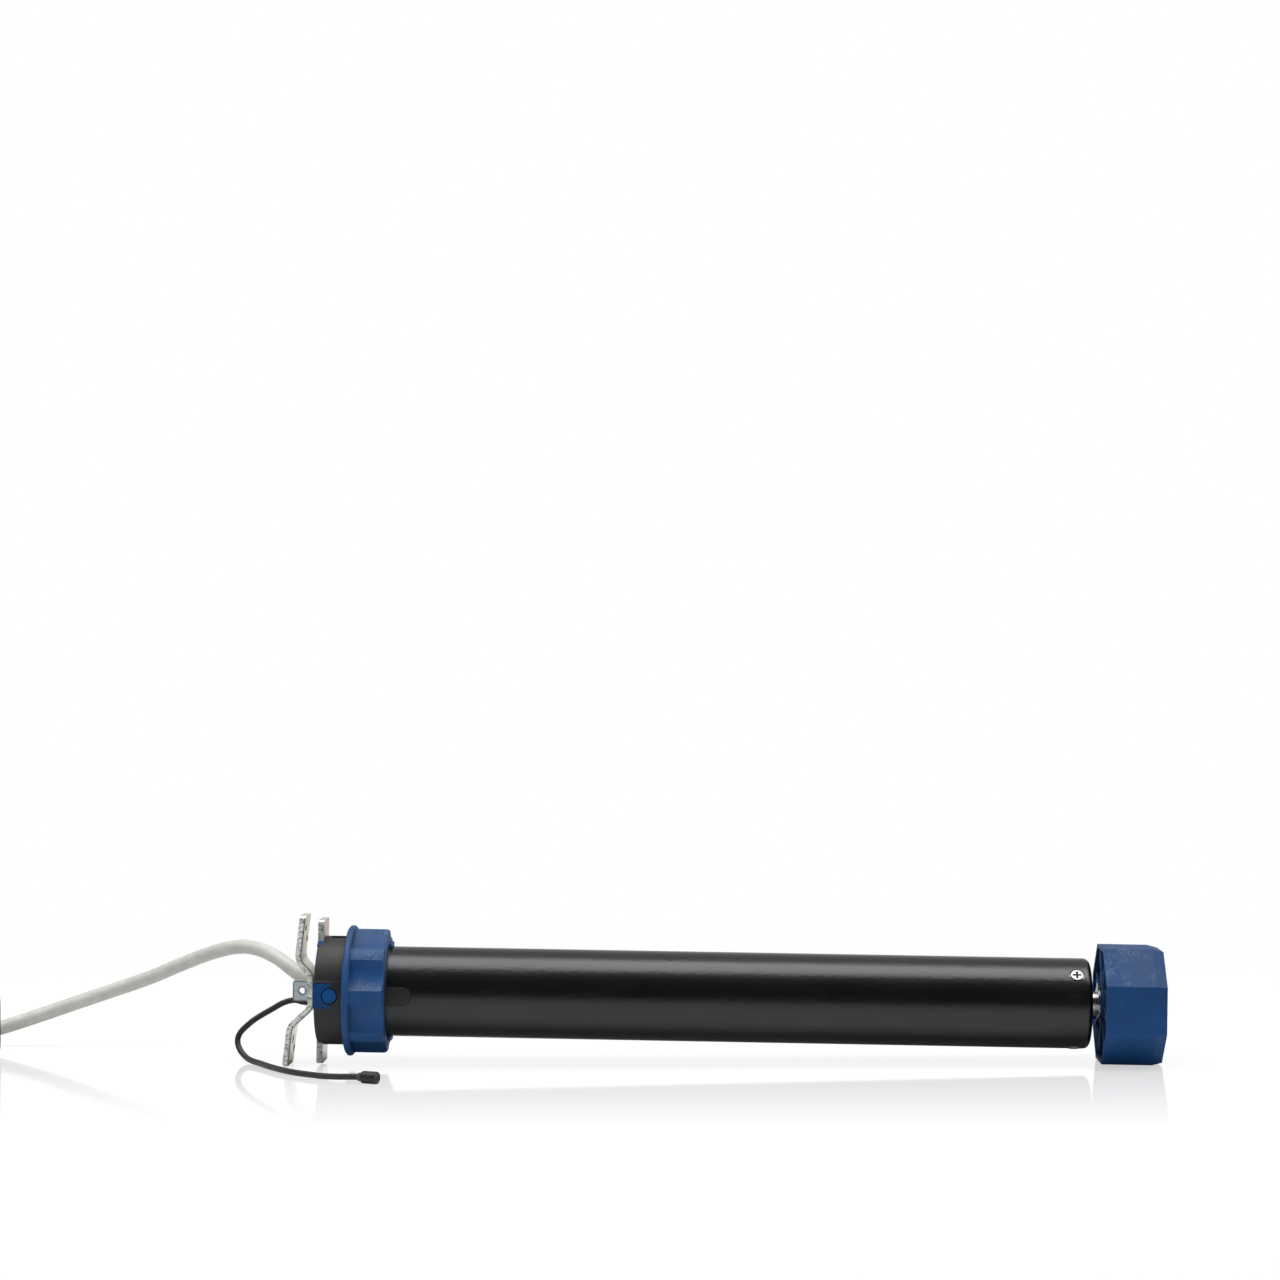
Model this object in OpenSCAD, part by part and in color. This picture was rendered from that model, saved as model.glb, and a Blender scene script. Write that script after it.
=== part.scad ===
// Tubular motor for a roller blind or shutter.
// The motor axis is X, from the wall bracket (low X) to the drive wheel (high X).
// The origin lies on the axis in the face of the head, where the bracket bar seats.
// Angles around the axis start at the front (-Y) and grow upwards.

/* [Tube] */
// Outer diameter of the motor tube
tube_d = 45; // [44:0.5:47]
// Wall thickness of the tube
tube_wall = 1; // [0.8:0.1:1.2]
// Length of the tube
tube_len = 351; // [345:1:380]
// Radius of the rolled edge at the drive end
roll_r = 3; // [2.4:0.2:3.6]
// Diameter of the recess around each tube screw
screw_hole_d = 7.3; // [7:0.1:8]
// Distance from the drive end of the tube to its screws
screw_inset = 7.7; // [7:0.1:9]

/* [Head] */
// Diameter of the head
head_d = 54.5; // [54:0.5:58]
// Length of the head in front of the crown
head_len = 14; // [14:0.5:16]
// Thickness of the face wall of the head
face_t = 6; // [5.5:0.5:7]
// Length of the spigot inside the tube
spigot_len = 20; // [18:1:21]
// Width of the tongue that keys the head into the tube
tongue_w = 8.3; // [7:0.1:9]
// Length of the tongue
tongue_len = 12.4; // [11:0.1:14]
// Diameter of the setting button
button_d = 7.2; // [6.8:0.1:7.5]
// Distance from the face to the centre of the button
button_x = 7.9; // [7.7:0.1:8.1]
// Travel of the setting button
button_travel = 1.2; // [1:0.1:1.3]
// Width of the release slide
slide_w = 12.7; // [12:0.1:13]
// Depth of the release slide
slide_t = 4.75; // [4.5:0.05:4.9]
// Travel of the release slide
slide_travel = 1.5; // [1:0.1:1.6]

/* [Crown] */
// Diameter of the crown flange
flange_d = 65.4; // [64:0.2:68]
// Thickness of the crown flange
flange_t = 3.3; // [3:0.1:4]
// Diameter across the crown pads
crown_d = 62; // [61:0.5:63]
// Length of the crown behind its flange
crown_len = 17.3; // [16:0.1:19]
// Width of a crown pad
pad_w = 6.3; // [5:0.1:7]
// Radius of the floor of a crown recess
recess_r = 27.5; // [27:0.1:28.5]
// Angle between the front crown pad and its neighbours
pad_step = 42; // [41:0.5:46]

/* [Wheel] */
// Distance across the flats of the drive wheel
wheel_flats = 57.6; // [56:0.2:60]
// Length of the drive wheel
wheel_len = 30; // [28:0.5:34]
// Wall thickness of the drive wheel
wheel_wall = 1.8; // [1.6:0.1:2.4]
// Gap between the tube and the wheel
wheel_gap = 5.5; // [5:0.1:7]
// Length of the taper at the outer end of the wheel
taper_len = 5.2; // [4:0.1:6]
// Depth of the taper at the outer end of the wheel
taper_drop = 1.3; // [1:0.1:1.5]
// Diameter of the output shaft
shaft_d = 12; // [11:0.5:12.5]

/* [Bracket] */
// Thickness of the bracket strips
strip_t = 3; // [2.6:0.1:3.2]
// Width of the bracket strips
strip_w = 19; // [18:0.5:19.5]
// Half length of the straight bar
bar_half = 36; // [34:0.5:36.5]
// Distance between the bar and the wall bracket
spacer_len = 2.3; // [2:0.1:3]
// Half height of the wall bracket
leg_top = 37.8; // [37.4:0.1:39]
// Lean of the bracket legs
leg_lean = 6; // [4:0.1:7]
// Diameter of the wall screw holes
leg_hole_d = 4.6; // [4:0.1:5.2]
// Diameter of the hole in the tab
tab_hole_d = 3.2; // [3:0.1:3.6]
// Diameter of the bracket screw
bracket_screw_d = 5; // [4.5:0.1:5.5]

/* [Gearbox] */
// Teeth of each sun gear
sun_teeth = 9; // [9]
// Teeth of each planet gear
planet_teeth = 18; // [18]
// Wall of the ring gear behind its teeth
ring_wall = 2.6; // [2.4:0.1:3.2]
// Play of each gear at its pitch circle
gear_play = 0.08; // [0.06:0.01:0.12]
// Width of the gears in the first stage
gear_w = 9; // [8:0.5:10]
// Width of the gears in the output stage
gear_w_out = 12; // [11:0.5:13]
// Thickness of the planet carriers
carrier_t = 3; // [2.6:0.1:3.5]
// Diameter of the planet pins
pin_d = 3; // [2.6:0.1:3.2]

/* [Motor] */
// Length of the stator core
stator_len = 60; // [50:1:66]
// Share of the motor's diameter that the rotor takes
rotor_share = 0.512; // [0.49:0.002:0.525]
// Diameter of the rotor shaft
rotor_shaft_d = 6; // [5.6:0.1:6.2]
// Number of stator slots
slot_count = 12; // [12]
// Room between the motor's wall and the run capacitor
capacitor_room = 5.4; // [4.8:0.1:6.2]
// Share of the electronics space that the circuit board takes
board_share = 0.555; // [0.54:0.005:0.565]
// Share of the electronics space that the run capacitor takes
capacitor_share = 0.284; // [0.25:0.002:0.3]

/* [Cords] */
// Diameter of the power cable
cable_d = 7.4; // [7:0.1:7.5]
// Diameter of the aerial wire
aerial_d = 3; // [2.6:0.1:3.2]
// Radius of the cable coil at the middle of its turns
coil_mid_r = 36; // [34:0.5:38]
// Loops in each layer of the cable coil
coil_loops = 2; // [2]
// Layers of the cable coil
coil_layers = 4; // [4]
// Clear gap between neighbouring turns of the coil
coil_gap = 0.5; // [0.45:0.05:0.7]

/* [Hidden] */

BLUE = "#224572";
BLACK = "#262626";
STEEL = "#b9bab4";
BRASS = "#b08d4a";
COPPER = "#a8622f";

// Clearances
fit = 0.1;
run = 0.05;
rub = 0.3;
overlap = 0.01;

// Radii and places that follow from the sizes above
tube_r = tube_d / 2;
bore_r = tube_r - tube_wall;
seat_r = bore_r - fit;
head_r = head_d / 2;
journal_r = tube_r + 0.9;
crown_bore_r = journal_r + run;
lip_r = tube_r + rub;
lip_t = 1.5;
hook_r = lip_r + 2.1;
hook_w = 12;
crown_x0 = head_len + rub;
crown_x1 = crown_x0 + flange_t;
crown_x2 = crown_x1 + crown_len;
journal_x1 = crown_x2 - rub;
tube_x0 = crown_x2 + 0.6;
tube_x1 = tube_x0 + tube_len;
spigot_x1 = tube_x0 + spigot_len;
boss_r = 9;
boss_x1 = 30;
cavity_r = min(19.1, seat_r - 2.2);
screw_x = tube_x1 - screw_inset;
screw_angles = [45, 165, 285];

// Head mechanism, measured inwards from the front of the head
insert_len = button_x - 0.15;
button_r = button_d / 2;
ring_gap = 0.5;
cover_top = slide_w / 2 + 1;
cover_low = -slide_w / 2 - 0.15;
cover_proud = 0.2;
slide_proud = 0.3;
button_y0 = head_r + 0.1;
collar_y0 = 19;
collar_t = 1.2;
collar_r = button_r + 0.9;
switch_y0 = 15;
switch_y1 = 11.9;
switch_half = 3;
plunger_r = 1.7;
plunger_tip = 1;
board_t = 1.6;
seat_y = switch_y1 - board_t;
spring_wire = 0.45;
retainer_half = 13;
retainer_t = 1.5;
retainer_low = 22.9;
retainer_r = head_r - 1.4;

// Cable and aerial entries in the far half of the face
bar_gap = 0.15;
gland_wall = 0.9;
gland_r = cable_d / 2 + gland_wall;
cable_y = strip_w / 2 + bar_gap + gland_wall / 2 + gland_r;
cable_z = 3;
clamp_x0 = face_t + 6;
clamp_len = 8;
sheath_inner = 17;
gland_flange_t = 1.5;
aerial_y = 13;
aerial_z = -8.5;
core_r = 0.9;
core_pitch = 1.25;
lead_reach = 5;
grommet_r = aerial_d / 2 + 0.8;

// Bracket profile
bar_x0 = -0.4;
bar_x1 = bar_x0 + strip_t;
strip_x = -spacer_len - strip_t / 2;
flat_half = 8.35;
bend_top = [-10.6, 15.2];
bend_low = [-14.1, -17.7];
leg_low = 37.5;
strip_corner_r = 2;
leg_bend_r = 8;
flat_bend_r = 6;
tab_x0 = -12.8;
tab_z = [-4.95, 5.5];
tab_corner_r = 1.3;
tab_hole = [-8.1, 0.4];
// Wall screw holes: distance from the bend along the leg, and place across the strip
top_holes = [[10, 5], [16.2, -4]];
low_holes = [[7, -2], [12.2, 5.2]];
screw_head_r = 4.25;
screw_head_t = 2.3;

// Tube screws: head, shank and cross recess
tube_screw_head_r = 3.05;
tube_screw_r = 1.55;
tube_screw_len = 6.5;
cross_half = 2.1;
cross_w = 0.95;
cross_depth = 1.3;

// Wheel
wheel_x0 = tube_x1 + wheel_gap;
wheel_x1 = wheel_x0 + wheel_len;
wheel_ap = wheel_flats / 2;
shaft_r = shaft_d / 2;
shaft_flat = shaft_r - 1;
out_bush_r = shaft_r + 2.5;
hub_r = shaft_r + 3.5;
rib_t = 1.1;
rib_cross_r = 17;
rib_angle = 13;
end_wall = 2;
clip_t = 1.2;
clip_x0 = wheel_x0 - 1.3;

// Gearbox, worked back from the output flange
ring_teeth = sun_teeth + 2 * planet_teeth;
gear_module = (seat_r - ring_wall) / (ring_teeth / 2 + 1);
orbit_r = (sun_teeth + planet_teeth) * gear_module / 2;
pin_r = pin_d / 2;
flange_inset = 1.2;
flange_len = 19.5;
flange_x1 = tube_x1 - flange_inset;
flange_x0 = flange_x1 - flange_len;
out_plate_t = 4.5;
out_plate_x0 = flange_x0 - rub - out_plate_t;
s2_x1 = out_plate_x0 - rub;
s2_x0 = s2_x1 - gear_w_out;
c1_x0 = s2_x0 - rub - carrier_t;
s1_x1 = c1_x0 - rub;
s1_x0 = s1_x1 - gear_w;
ring_x0 = s1_x0 - 0.4;
carrier_r = orbit_r + pin_r + 2.8;
pinion_neck_r = 2.4;

// Brake, worked back from the gearbox
brake_wall = 3;
brake_depth = 14.6;
brake_x0 = ring_x0 - brake_wall - brake_depth;
magnet_len = 9;
magnet_r = seat_r - 2.9;
armature_gap = 0.5;
armature_travel = 0.4;
armature_t = 2;
armature_x0 = brake_x0 + magnet_len + armature_gap;
disc_x0 = armature_x0 + armature_t + rub;
disc_t = 2.5;
brake_pin_r = 1.2;
brake_pin_orbit = magnet_r - 1.5;
spring_seat_x = brake_x0 + 2;
brake_spring_r = 0.368 * magnet_r;
brake_spring_wire = 0.9;
brake_pocket_r = brake_spring_r + 1.4;
brake_coil_in = brake_pocket_r + 1.5;
brake_coil_out = magnet_r - 3.2;

// Motor, worked back from the brake
shaft_r_rotor = rotor_shaft_d / 2;
shield_t = 3;
shield_rim = 12;
rim_t = 2;
bush_len = 6;
bush_r = shaft_r_rotor + 2.5;
shield_hub_r = bush_r + 2.5;
stator_x1 = brake_x0 - shield_t - shield_rim;
stator_x0 = stator_x1 - stator_len;
rear_x0 = stator_x0 - shield_rim - shield_t;
rotor_r = rotor_share * seat_r;
stator_bore = rotor_r + 0.35;
slot_in = stator_bore + 1.7;
core_wall = 3.4;
slot_out = seat_r - core_wall;
slot_w = 3.4;
magnet_ring_r = 5;
sensor_x = rear_x0 - 7.6;
sensor_board_r = seat_r - 4.4;

// Electronics, from the head towards the motor
tray_x0 = spigot_x1 + 1;
tray_x1 = rear_x0 - 8.5;
tray_wall = 1.5;
board_x0 = tray_x0 + 2;
board_z = -1;
board_half = seat_r - 2.1;
ledge_half = board_half - 1.7;
electronics_len = sensor_x - board_x0;
board_len = board_share * electronics_len;
capacitor_len = capacitor_share * electronics_len;
clip_wall_x = [0.18 * capacitor_len, 0.82 * capacitor_len];
cap_x0 = board_x0 + board_len + 5;
cap_r = seat_r - capacitor_room;

// The surface that the motor rests on: the foot of the bracket and the wheel
leg_dir = [-sin(leg_lean), -cos(leg_lean)];
leg_foot = [bend_low.x + (leg_low + bend_low.y) * leg_dir.x / -leg_dir.y, -leg_low];
foot = [leg_foot.x + cos(leg_lean) * strip_t / 2, leg_foot.y - sin(leg_lean) * strip_t / 2];
wheel_foot = [wheel_x1 - taper_len, -wheel_ap];
rest_tilt = atan2(wheel_foot.y - foot.y, wheel_foot.x - foot.x);
function floor_z(x) = foot.y + (x - foot.x) * tan(rest_tilt);

// Route of the power cable, from the gland to the coil, by hand
cable_route = [
    [-gland_flange_t, cable_y, cable_z], [-gland_flange_t - cable_d, cable_y, cable_z],
    [-14, 15.8, 6.2], [-19.5, 18.5, 9.8], [-26, 24, 13.2],
    [-35, 32, 16], [-45, 40, 16.8], [-55, 46, 15.2], [-68, 52.5, 10.8], [-82, 58, 4.9],
    [-99, 62.5, -2.7], [-120, 66, -10.5], [-138, 67.5, -17], [-156, 67.5, -23.5], [-172, 66, -29],
    [-186, 64, -33.2], [-196, 63, -35.4]
];
// Route of the aerial wire, from the grommet to its tip, by hand
aerial_route = [
    [-1, 13, -8.5], [-6, 13, -8.4], [-11, 13, -7.9], [-15.5, 13.5, -7.2], [-21, 13.5, -8.7],
    [-26.5, 13.5, -11.9], [-31.4, 13.5, -14.8], [-35.7, 13, -17.6], [-39, 13, -20.4],
    [-41.8, 12.7, -23.2], [-43.4, 12.2, -26], [-43.6, 11.2, -28.8], [-42.6, 9.6, -31.4],
    [-40.3, 6.9, -34], [-37, 2.5, -35.8], [-33, -3.5, -36.35], [-28.5, -10.5, -36.3],
    [-22.7, -20.5, -36.2], [-16, -30.5, -36.1], [-8.5, -39.5, -36], [1, -48, -35.8],
    [9, -54.5, -35.5], [16, -59.8, -34.9], [21.5, -63.4, -34.3], [25, -65.3, -33.95], [28, -66.6, -33.75]
];
tip_d = 6;
tip_len = 10.5;

// Place and form of the coil, on its two ties beyond the cable's run
tie_t = 0.9;
tie_w = 6;
coil_pitch = cable_d + coil_gap;
coil_in_r = coil_mid_r - coil_pitch * coil_loops / 2;
coil_out_r = coil_mid_r + coil_pitch * coil_loops / 2;
coil_turns = (coil_layers - 1) * coil_loops + coil_loops / 2;
coil_rings = 24;
coil_lift = tie_t + 0.4;
coil_start = [-210, 63];
coil_c = [coil_start.x - cable_d, coil_start.y - coil_out_r];
core_len = 22;
sheath_len = 8;

// Helpers: all lengths run along X unless the name says otherwise
module along(x0, x1) translate([x0, 0, 0]) rotate([90, 0, 90]) linear_extrude(x1 - x0) children();
module rod(r, x0, x1, fn = 64) translate([x0, 0, 0]) rotate([0, 90, 0]) cylinder(r = r, h = x1 - x0, $fn = fn);
module turned(profile, fn = 96)
    rotate([0, 90, 0]) rotate_extrude($fn = fn) polygon([for (p = profile) [p[1], p[0]]]);
module pipe(r_out, r_in, x0, x1, fn = 96)
    turned([[x0, r_in], [x0, r_out], [x1, r_out], [x1, r_in]], fn);
module at_angle(phi) rotate([-phi, 0, 0]) children();
// A box seen from the front: x range, depth range below the front, height range
module front_box(x0, x1, y0, y1, z0, z1)
    translate([x0, -y0, z0]) cube([x1 - x0, y0 - y1, z1 - z0]);
module front_rod(r, y0, y1, x = 0, z = 0, fn = 48)
    translate([x, -y1, z]) rotate([90, 0, 0]) cylinder(r = r, h = y0 - y1, $fn = fn);

// Involute gear outline: half the tooth angle at radius r, then the points of every tooth
pressure = 25;
function inv_deg(a) = tan(a) * 180 / PI - a;
function inv_at(r, base) = r <= base ? 0 : inv_deg(acos(base / r));
function tooth_half(r, rp, z, play) =
    90 / z + inv_deg(pressure) - inv_at(r, rp * cos(pressure)) - play / 2 / rp * 180 / PI;
function polar(r, a) = [r * cos(a), r * sin(a)];
function gear_outline(z, root, tip, play, turn = 0) =
    let (
        rp = z * gear_module / 2,
        low = max(rp * cos(pressure), root + (tip - root) / 8),
        radii = [root, low, (low + tip) / 2, tip]
    )
    [
        for (k = [0:z - 1], side = [-1, 1], i = [0:3])
            let (r = side < 0 ? radii[i] : radii[3 - i])
                polar(r, turn + 360 * k / z + side * tooth_half(r, rp, z, play))
    ];
function pitch_r(z) = z * gear_module / 2;
addendum = 0.8 * gear_module;
dedendum = gear_module;

// Smooth curve through hand-chosen points, and a tube of many sides along a path
function spline(p, i, t) =
    let (n = len(p) - 1, a = p[max(i - 1, 0)], b = p[i], c = p[min(i + 1, n)], d = p[min(i + 2, n)])
    0.5 * ((2 * b) + (c - a) * t + (2 * a - 5 * b + 4 * c - d) * t * t + (3 * b - a - 3 * c + d) * t * t * t);
function smooth_path(p, steps) =
    concat([for (i = [0:len(p) - 2], k = [0:steps - 1]) spline(p, i, k / steps)], [p[len(p) - 1]]);
function unit(v) = v / norm(v);
function heading(path, i) =
    unit(path[min(i + 1, len(path) - 1)] - path[max(i - 1, 0)]);
function ring_at(centre, ahead, r, sides, upward) =
    let (flat = unit(cross(ahead, upward)), up = cross(flat, ahead))
    [for (s = [0:sides - 1]) centre + r * (flat * sin(360 * s / sides) - up * cos(360 * s / sides))];
module swept(path, r, sides, first = undef, last = undef, upward = [0, 0, 1]) {
    n = len(path);
    rings = [
        for (i = [0:n - 1])
            let (
                own = heading(path, i),
                ahead = i == 0 && !is_undef(first) ? first : i == n - 1 && !is_undef(last) ? last : own
            )
            ring_at(path[i], ahead, r, sides, upward)
    ];
    points = [for (ring = rings, p = ring) p];
    walls = [
        for (i = [0:n - 2], s = [0:sides - 1])
            let (a = i * sides + s, b = i * sides + (s + 1) % sides, c = b + sides, d = a + sides)
            each [[a, b, c], [a, c, d]]
    ];
    start = [for (s = [1:sides - 2]) [0, s + 1, s]];
    stop = [for (s = [1:sides - 2]) [(n - 1) * sides, (n - 1) * sides + s, (n - 1) * sides + s + 1]];
    polyhedron(points = points, faces = concat(walls, start, stop), convexity = 10);
}
// A round spring along X: turns of wire between two planes
module coil_spring(x0, x1, mean_r, wire, turns)
    swept(
        [
            for (i = [0:turns * 12])
                let (u = i / (turns * 12))
                    [x0 + wire / 2 + u * (x1 - x0 - wire), mean_r * cos(360 * turns * u), mean_r * sin(360 * turns * u)]
        ],
        wire / 2, 6, upward = [1, 0, 0]
    );

/* Tube */

module motor_tube() {
    inner_roll = roll_r - tube_wall;
    steps = 6;
    outer_arc = [for (i = [0:steps]) let (a = 90 * i / steps)
        [tube_x1 - roll_r + roll_r * sin(a), tube_r - roll_r + roll_r * cos(a)]];
    inner_arc = [for (i = [steps:-1:0]) let (a = 90 * i / steps)
        [tube_x1 - roll_r + inner_roll * sin(a), tube_r - roll_r + inner_roll * cos(a)]];
    slot_half = tongue_w / 2 + rub;
    color(BLACK) difference() {
        turned(concat([[tube_x0, bore_r], [tube_x0, tube_r]], outer_arc, inner_arc));
        front_box(tube_x0 - 1, tube_x0 + tongue_len - slot_half + rub, tube_r + 1, bore_r / 2, -slot_half, slot_half);
        front_rod(slot_half, tube_r + 1, bore_r / 2, tube_x0 + tongue_len - slot_half + rub);
        for (phi = screw_angles) at_angle(phi) front_rod(screw_hole_d / 2, tube_r + 1, bore_r / 2, screw_x);
    }
}

module tube_screws() color(STEEL)
    for (phi = screw_angles) at_angle(phi) difference() {
        union() {
            front_rod(tube_screw_head_r, tube_r + 0.1, seat_r - 0.4, screw_x);
            front_rod(tube_screw_r, seat_r - 0.3, seat_r - tube_screw_len, screw_x);
        }
        front_box(screw_x - cross_half, screw_x + cross_half, tube_r + 1, tube_r + 0.1 - cross_depth,
            -cross_w / 2, cross_w / 2);
        front_box(screw_x - cross_w / 2, screw_x + cross_w / 2, tube_r + 1, tube_r + 0.1 - cross_depth,
            -cross_half, cross_half);
    }

/* Head */

module head_housing() color(BLACK) difference() {
    union() {
        turned([
            [0, 0], [0, head_r - 0.6], [0.6, head_r], [head_len, head_r], [head_len, journal_r],
            [journal_x1, journal_r], [journal_x1, tube_r], [tube_x0, tube_r], [tube_x0, seat_r],
            [spigot_x1, seat_r], [spigot_x1, 0]
        ]);
        intersection() {
            rod(tube_r, tube_x0 - 1, tube_x0 + tongue_len, 96);
            union() {
                front_box(tube_x0 - 1, tube_x0 + tongue_len - tongue_w / 2, tube_r, seat_r - 1,
                    -tongue_w / 2, tongue_w / 2);
                front_rod(tongue_w / 2, tube_r, seat_r - 1, tube_x0 + tongue_len - tongue_w / 2);
            }
        }
        // Raised strip above the slide, in line with the cover
        intersection() {
            rod(head_r + cover_proud, 0.4, insert_len + fit, 96);
            front_box(0, insert_len + fit, head_r + 1, head_r - 1, slide_w / 2 + fit, cover_top);
        }
    }
    // Wiring space around and behind the central boss
    difference() {
        rod(cavity_r, face_t, spigot_x1 + 1);
        rod(boss_r, face_t - 1, boss_x1);
        front_box(face_t - 1, boss_x1, seat_y, 0, -2, 2);
    }
    // Groove of the bracket bar and its screw hole
    translate([-1, -strip_w / 2 - bar_gap, -head_r - 1]) cube([bar_x1 + 1, strip_w + 2 * bar_gap, 2 * head_r + 2]);
    rod(bracket_screw_d / 2 + run, -1, strip_t + 16);
    // Pocket of the bar retainer, closed to the top behind the bar
    translate([-1, -retainer_half - fit, retainer_low - fit]) cube([bar_x1 + fit + 1, 2 * (retainer_half + fit), head_r]);
    intersection() {
        translate([-1, -retainer_half - fit, retainer_low - fit])
            cube([bar_x1 + retainer_t + 2 * fit + 1, 2 * (retainer_half + fit), head_r]);
        rod(retainer_r + fit, -1, head_len, 96);
    }
    // Release slide, button and switch
    front_box(-1, insert_len + fit, head_r + 1, head_r - slide_t - slide_travel - rub,
        -slide_w / 2 - fit, slide_w / 2 + fit);
    front_box(insert_len, head_len + 1, head_r + 1, head_r - 3, cover_low - fit, cover_top + fit);
    front_rod(button_r + fit, head_r + 1, collar_y0, button_x);
    front_rod(collar_r + fit, collar_y0 + rub, switch_y0, button_x);
    front_box(button_x - switch_half - rub, head_len, switch_y0 + rub, seat_y, -switch_half - rub, switch_half + rub);
    // Cable and aerial holes
    translate([0, cable_y, cable_z]) rod(gland_r, -1, face_t + 1, 48);
    translate([0, aerial_y, aerial_z]) rod(grommet_r, -1, face_t + 1, 48);
    // Moulded slot on top of the head
    translate([5.4, -5, head_r - 4]) cube([head_len, 8, 5]);
}

module button_cover() color(BLACK) difference() {
    intersection() {
        front_box(insert_len + fit, head_len, head_r + 1, head_r - 3 + 0.05, cover_low, cover_top);
        rod(head_r + cover_proud, 0, head_len, 96);
    }
    front_rod(button_r + ring_gap, head_r + 2, head_r - 4, button_x);
}

module set_button() color(BLUE) {
    front_rod(button_r, button_y0, collar_y0, button_x);
    front_rod(collar_r, collar_y0, collar_y0 - collar_t, button_x);
    front_rod(plunger_r, collar_y0 - collar_t, switch_y0 + plunger_tip, button_x);
}

module button_spring() color(STEEL)
    translate([button_x, 0, 0]) rotate([0, 0, 90])
        coil_spring(-collar_y0 + collar_t, -switch_y0, 2.6, spring_wire, 3);

module switch_body() color(BLACK) difference() {
    front_box(button_x - switch_half, button_x + switch_half, switch_y0, switch_y1, -switch_half, switch_half);
    front_rod(plunger_r + fit, switch_y0 + 1, switch_y0 - 2.4, button_x);
}

module switch_plunger() color("#d8d4c6") front_rod(plunger_r, switch_y0 + plunger_tip, switch_y0 - 0.8, button_x);

module switch_board() color("#2f6b3c")
    front_box(button_x - switch_half, boss_x1 + 3, switch_y1, seat_y, -switch_half, switch_half);

module release_slide() color(BLUE) difference() {
    intersection() {
        front_box(-slide_proud, insert_len, head_r + 1, head_r - slide_t, -slide_w / 2, slide_w / 2);
        rod(head_r, -slide_proud, head_len, 96);
    }
    front_rod(button_r + ring_gap, head_r + 2, head_r - slide_t - 2, button_x);
}

module bar_retainer() color(BLUE) {
    cheek_w = retainer_half - strip_w / 2 - bar_gap;
    intersection() {
        rod(retainer_r, 0, head_len, 96);
        translate([bar_x1 + 0.05, -retainer_half, retainer_low]) cube([retainer_t, 2 * retainer_half, head_r]);
    }
    for (y = [-retainer_half, strip_w / 2 + bar_gap]) intersection() {
        rod(head_r, bar_x0, head_len, 96);
        translate([bar_x0, y, retainer_low]) cube([strip_t + 0.1, cheek_w, head_r]);
    }
}

/* Bracket */

// Round-cornered strip outline in the Y-Z plane
module strip_outline(z0, z1) {
    half = strip_w / 2;
    square_half = half - strip_corner_r;
    translate([-square_half, z0]) square([2 * square_half, z1 - z0]);
    translate([-half, z0 + strip_corner_r]) square([2 * half, z1 - z0 - 2 * strip_corner_r]);
    for (y = [-square_half, square_half], z = [z0 + strip_corner_r, z1 - strip_corner_r])
        translate([y, z]) circle(strip_corner_r, $fn = 32);
}

// Corner i of a centre line, rounded to radius r with arc points
function bend_points(p, i, r) =
    let (
        a = unit(p[i - 1] - p[i]), b = unit(p[i + 1] - p[i]),
        half = acos(a * b) / 2, reach = r / tan(half), mid = unit(a + b), c = p[i] + mid * r / sin(half),
        start = p[i] + a * reach, stop = p[i] + b * reach,
        a0 = atan2(start.y - c.y, start.x - c.x), a1 = atan2(stop.y - c.y, stop.x - c.x),
        sweep = (a1 - a0 + 540) % 360 - 180
    )
    [for (k = [0:6]) c + polar(r, a0 + sweep * k / 6)];
function side_points(path, d) =
    [for (i = [0:len(path) - 1]) let (h = unit(path[min(i + 1, len(path) - 1)] - path[max(i - 1, 0)]))
        path[i] + d * [-h.y, h.x]];

// Wall screw hole in a leg, square to it: side is 1 above the axis and -1 below
module leg_hole(bend, side, h)
    translate([bend.x + side * h[0] * sin(leg_lean), h[1], bend.y + side * h[0] * cos(leg_lean)])
        rotate([0, 90 + leg_lean, 0]) cylinder(d = leg_hole_d, h = 3 * strip_t, center = true, $fn = 48);

module wall_bracket() {
    top = [bend_top.x + (leg_top - bend_top.y) * tan(leg_lean), leg_top];
    corners = [top, bend_top, [strip_x, flat_half], [strip_x, -flat_half], bend_low, leg_foot];
    bends = [leg_bend_r, flat_bend_r, flat_bend_r, leg_bend_r];
    line = concat([top], [for (i = [1:4]) each bend_points(corners, i, bends[i - 1])], [leg_foot]);
    outline = concat(side_points(line, strip_t / 2), [for (p = side_points(line, -strip_t / 2)) p]);
    n = len(line);
    profile = concat([for (i = [0:n - 1]) outline[i]], [for (i = [n - 1:-1:0]) outline[n + i]]);
    corner = tab_corner_r;
    color(STEEL) difference() {
        union() {
            intersection() {
                translate([0, strip_w / 2, 0]) rotate([90, 0, 0]) linear_extrude(strip_w) polygon(profile);
                along(-40, 10) strip_outline(-leg_low - 0.2, leg_top + 0.2);
            }
            // Tab with its hole, bent forward from the front edge of the strip
            difference() {
                union() {
                    front_box(tab_x0 + corner, strip_x, strip_w / 2, strip_w / 2 - strip_t, tab_z[0], tab_z[1]);
                    front_box(tab_x0, strip_x, strip_w / 2, strip_w / 2 - strip_t, tab_z[0] + corner, tab_z[1] - corner);
                    for (z = [tab_z[0] + corner, tab_z[1] - corner])
                        front_rod(corner, strip_w / 2, strip_w / 2 - strip_t, tab_x0 + corner, z);
                }
                front_rod(tab_hole_d / 2, strip_w / 2 + 1, strip_w / 2 - strip_t - 1, tab_hole.x, tab_hole.y);
            }
        }
        rod(bracket_screw_d / 2 + fit, -spacer_len - strip_t - 1, 1);
        // Two staggered wall screw holes in each leg, square to the leg
        for (h = top_holes) leg_hole(bend_top, 1, h);
        for (h = low_holes) leg_hole(bend_low, -1, h);
    }
}

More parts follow.
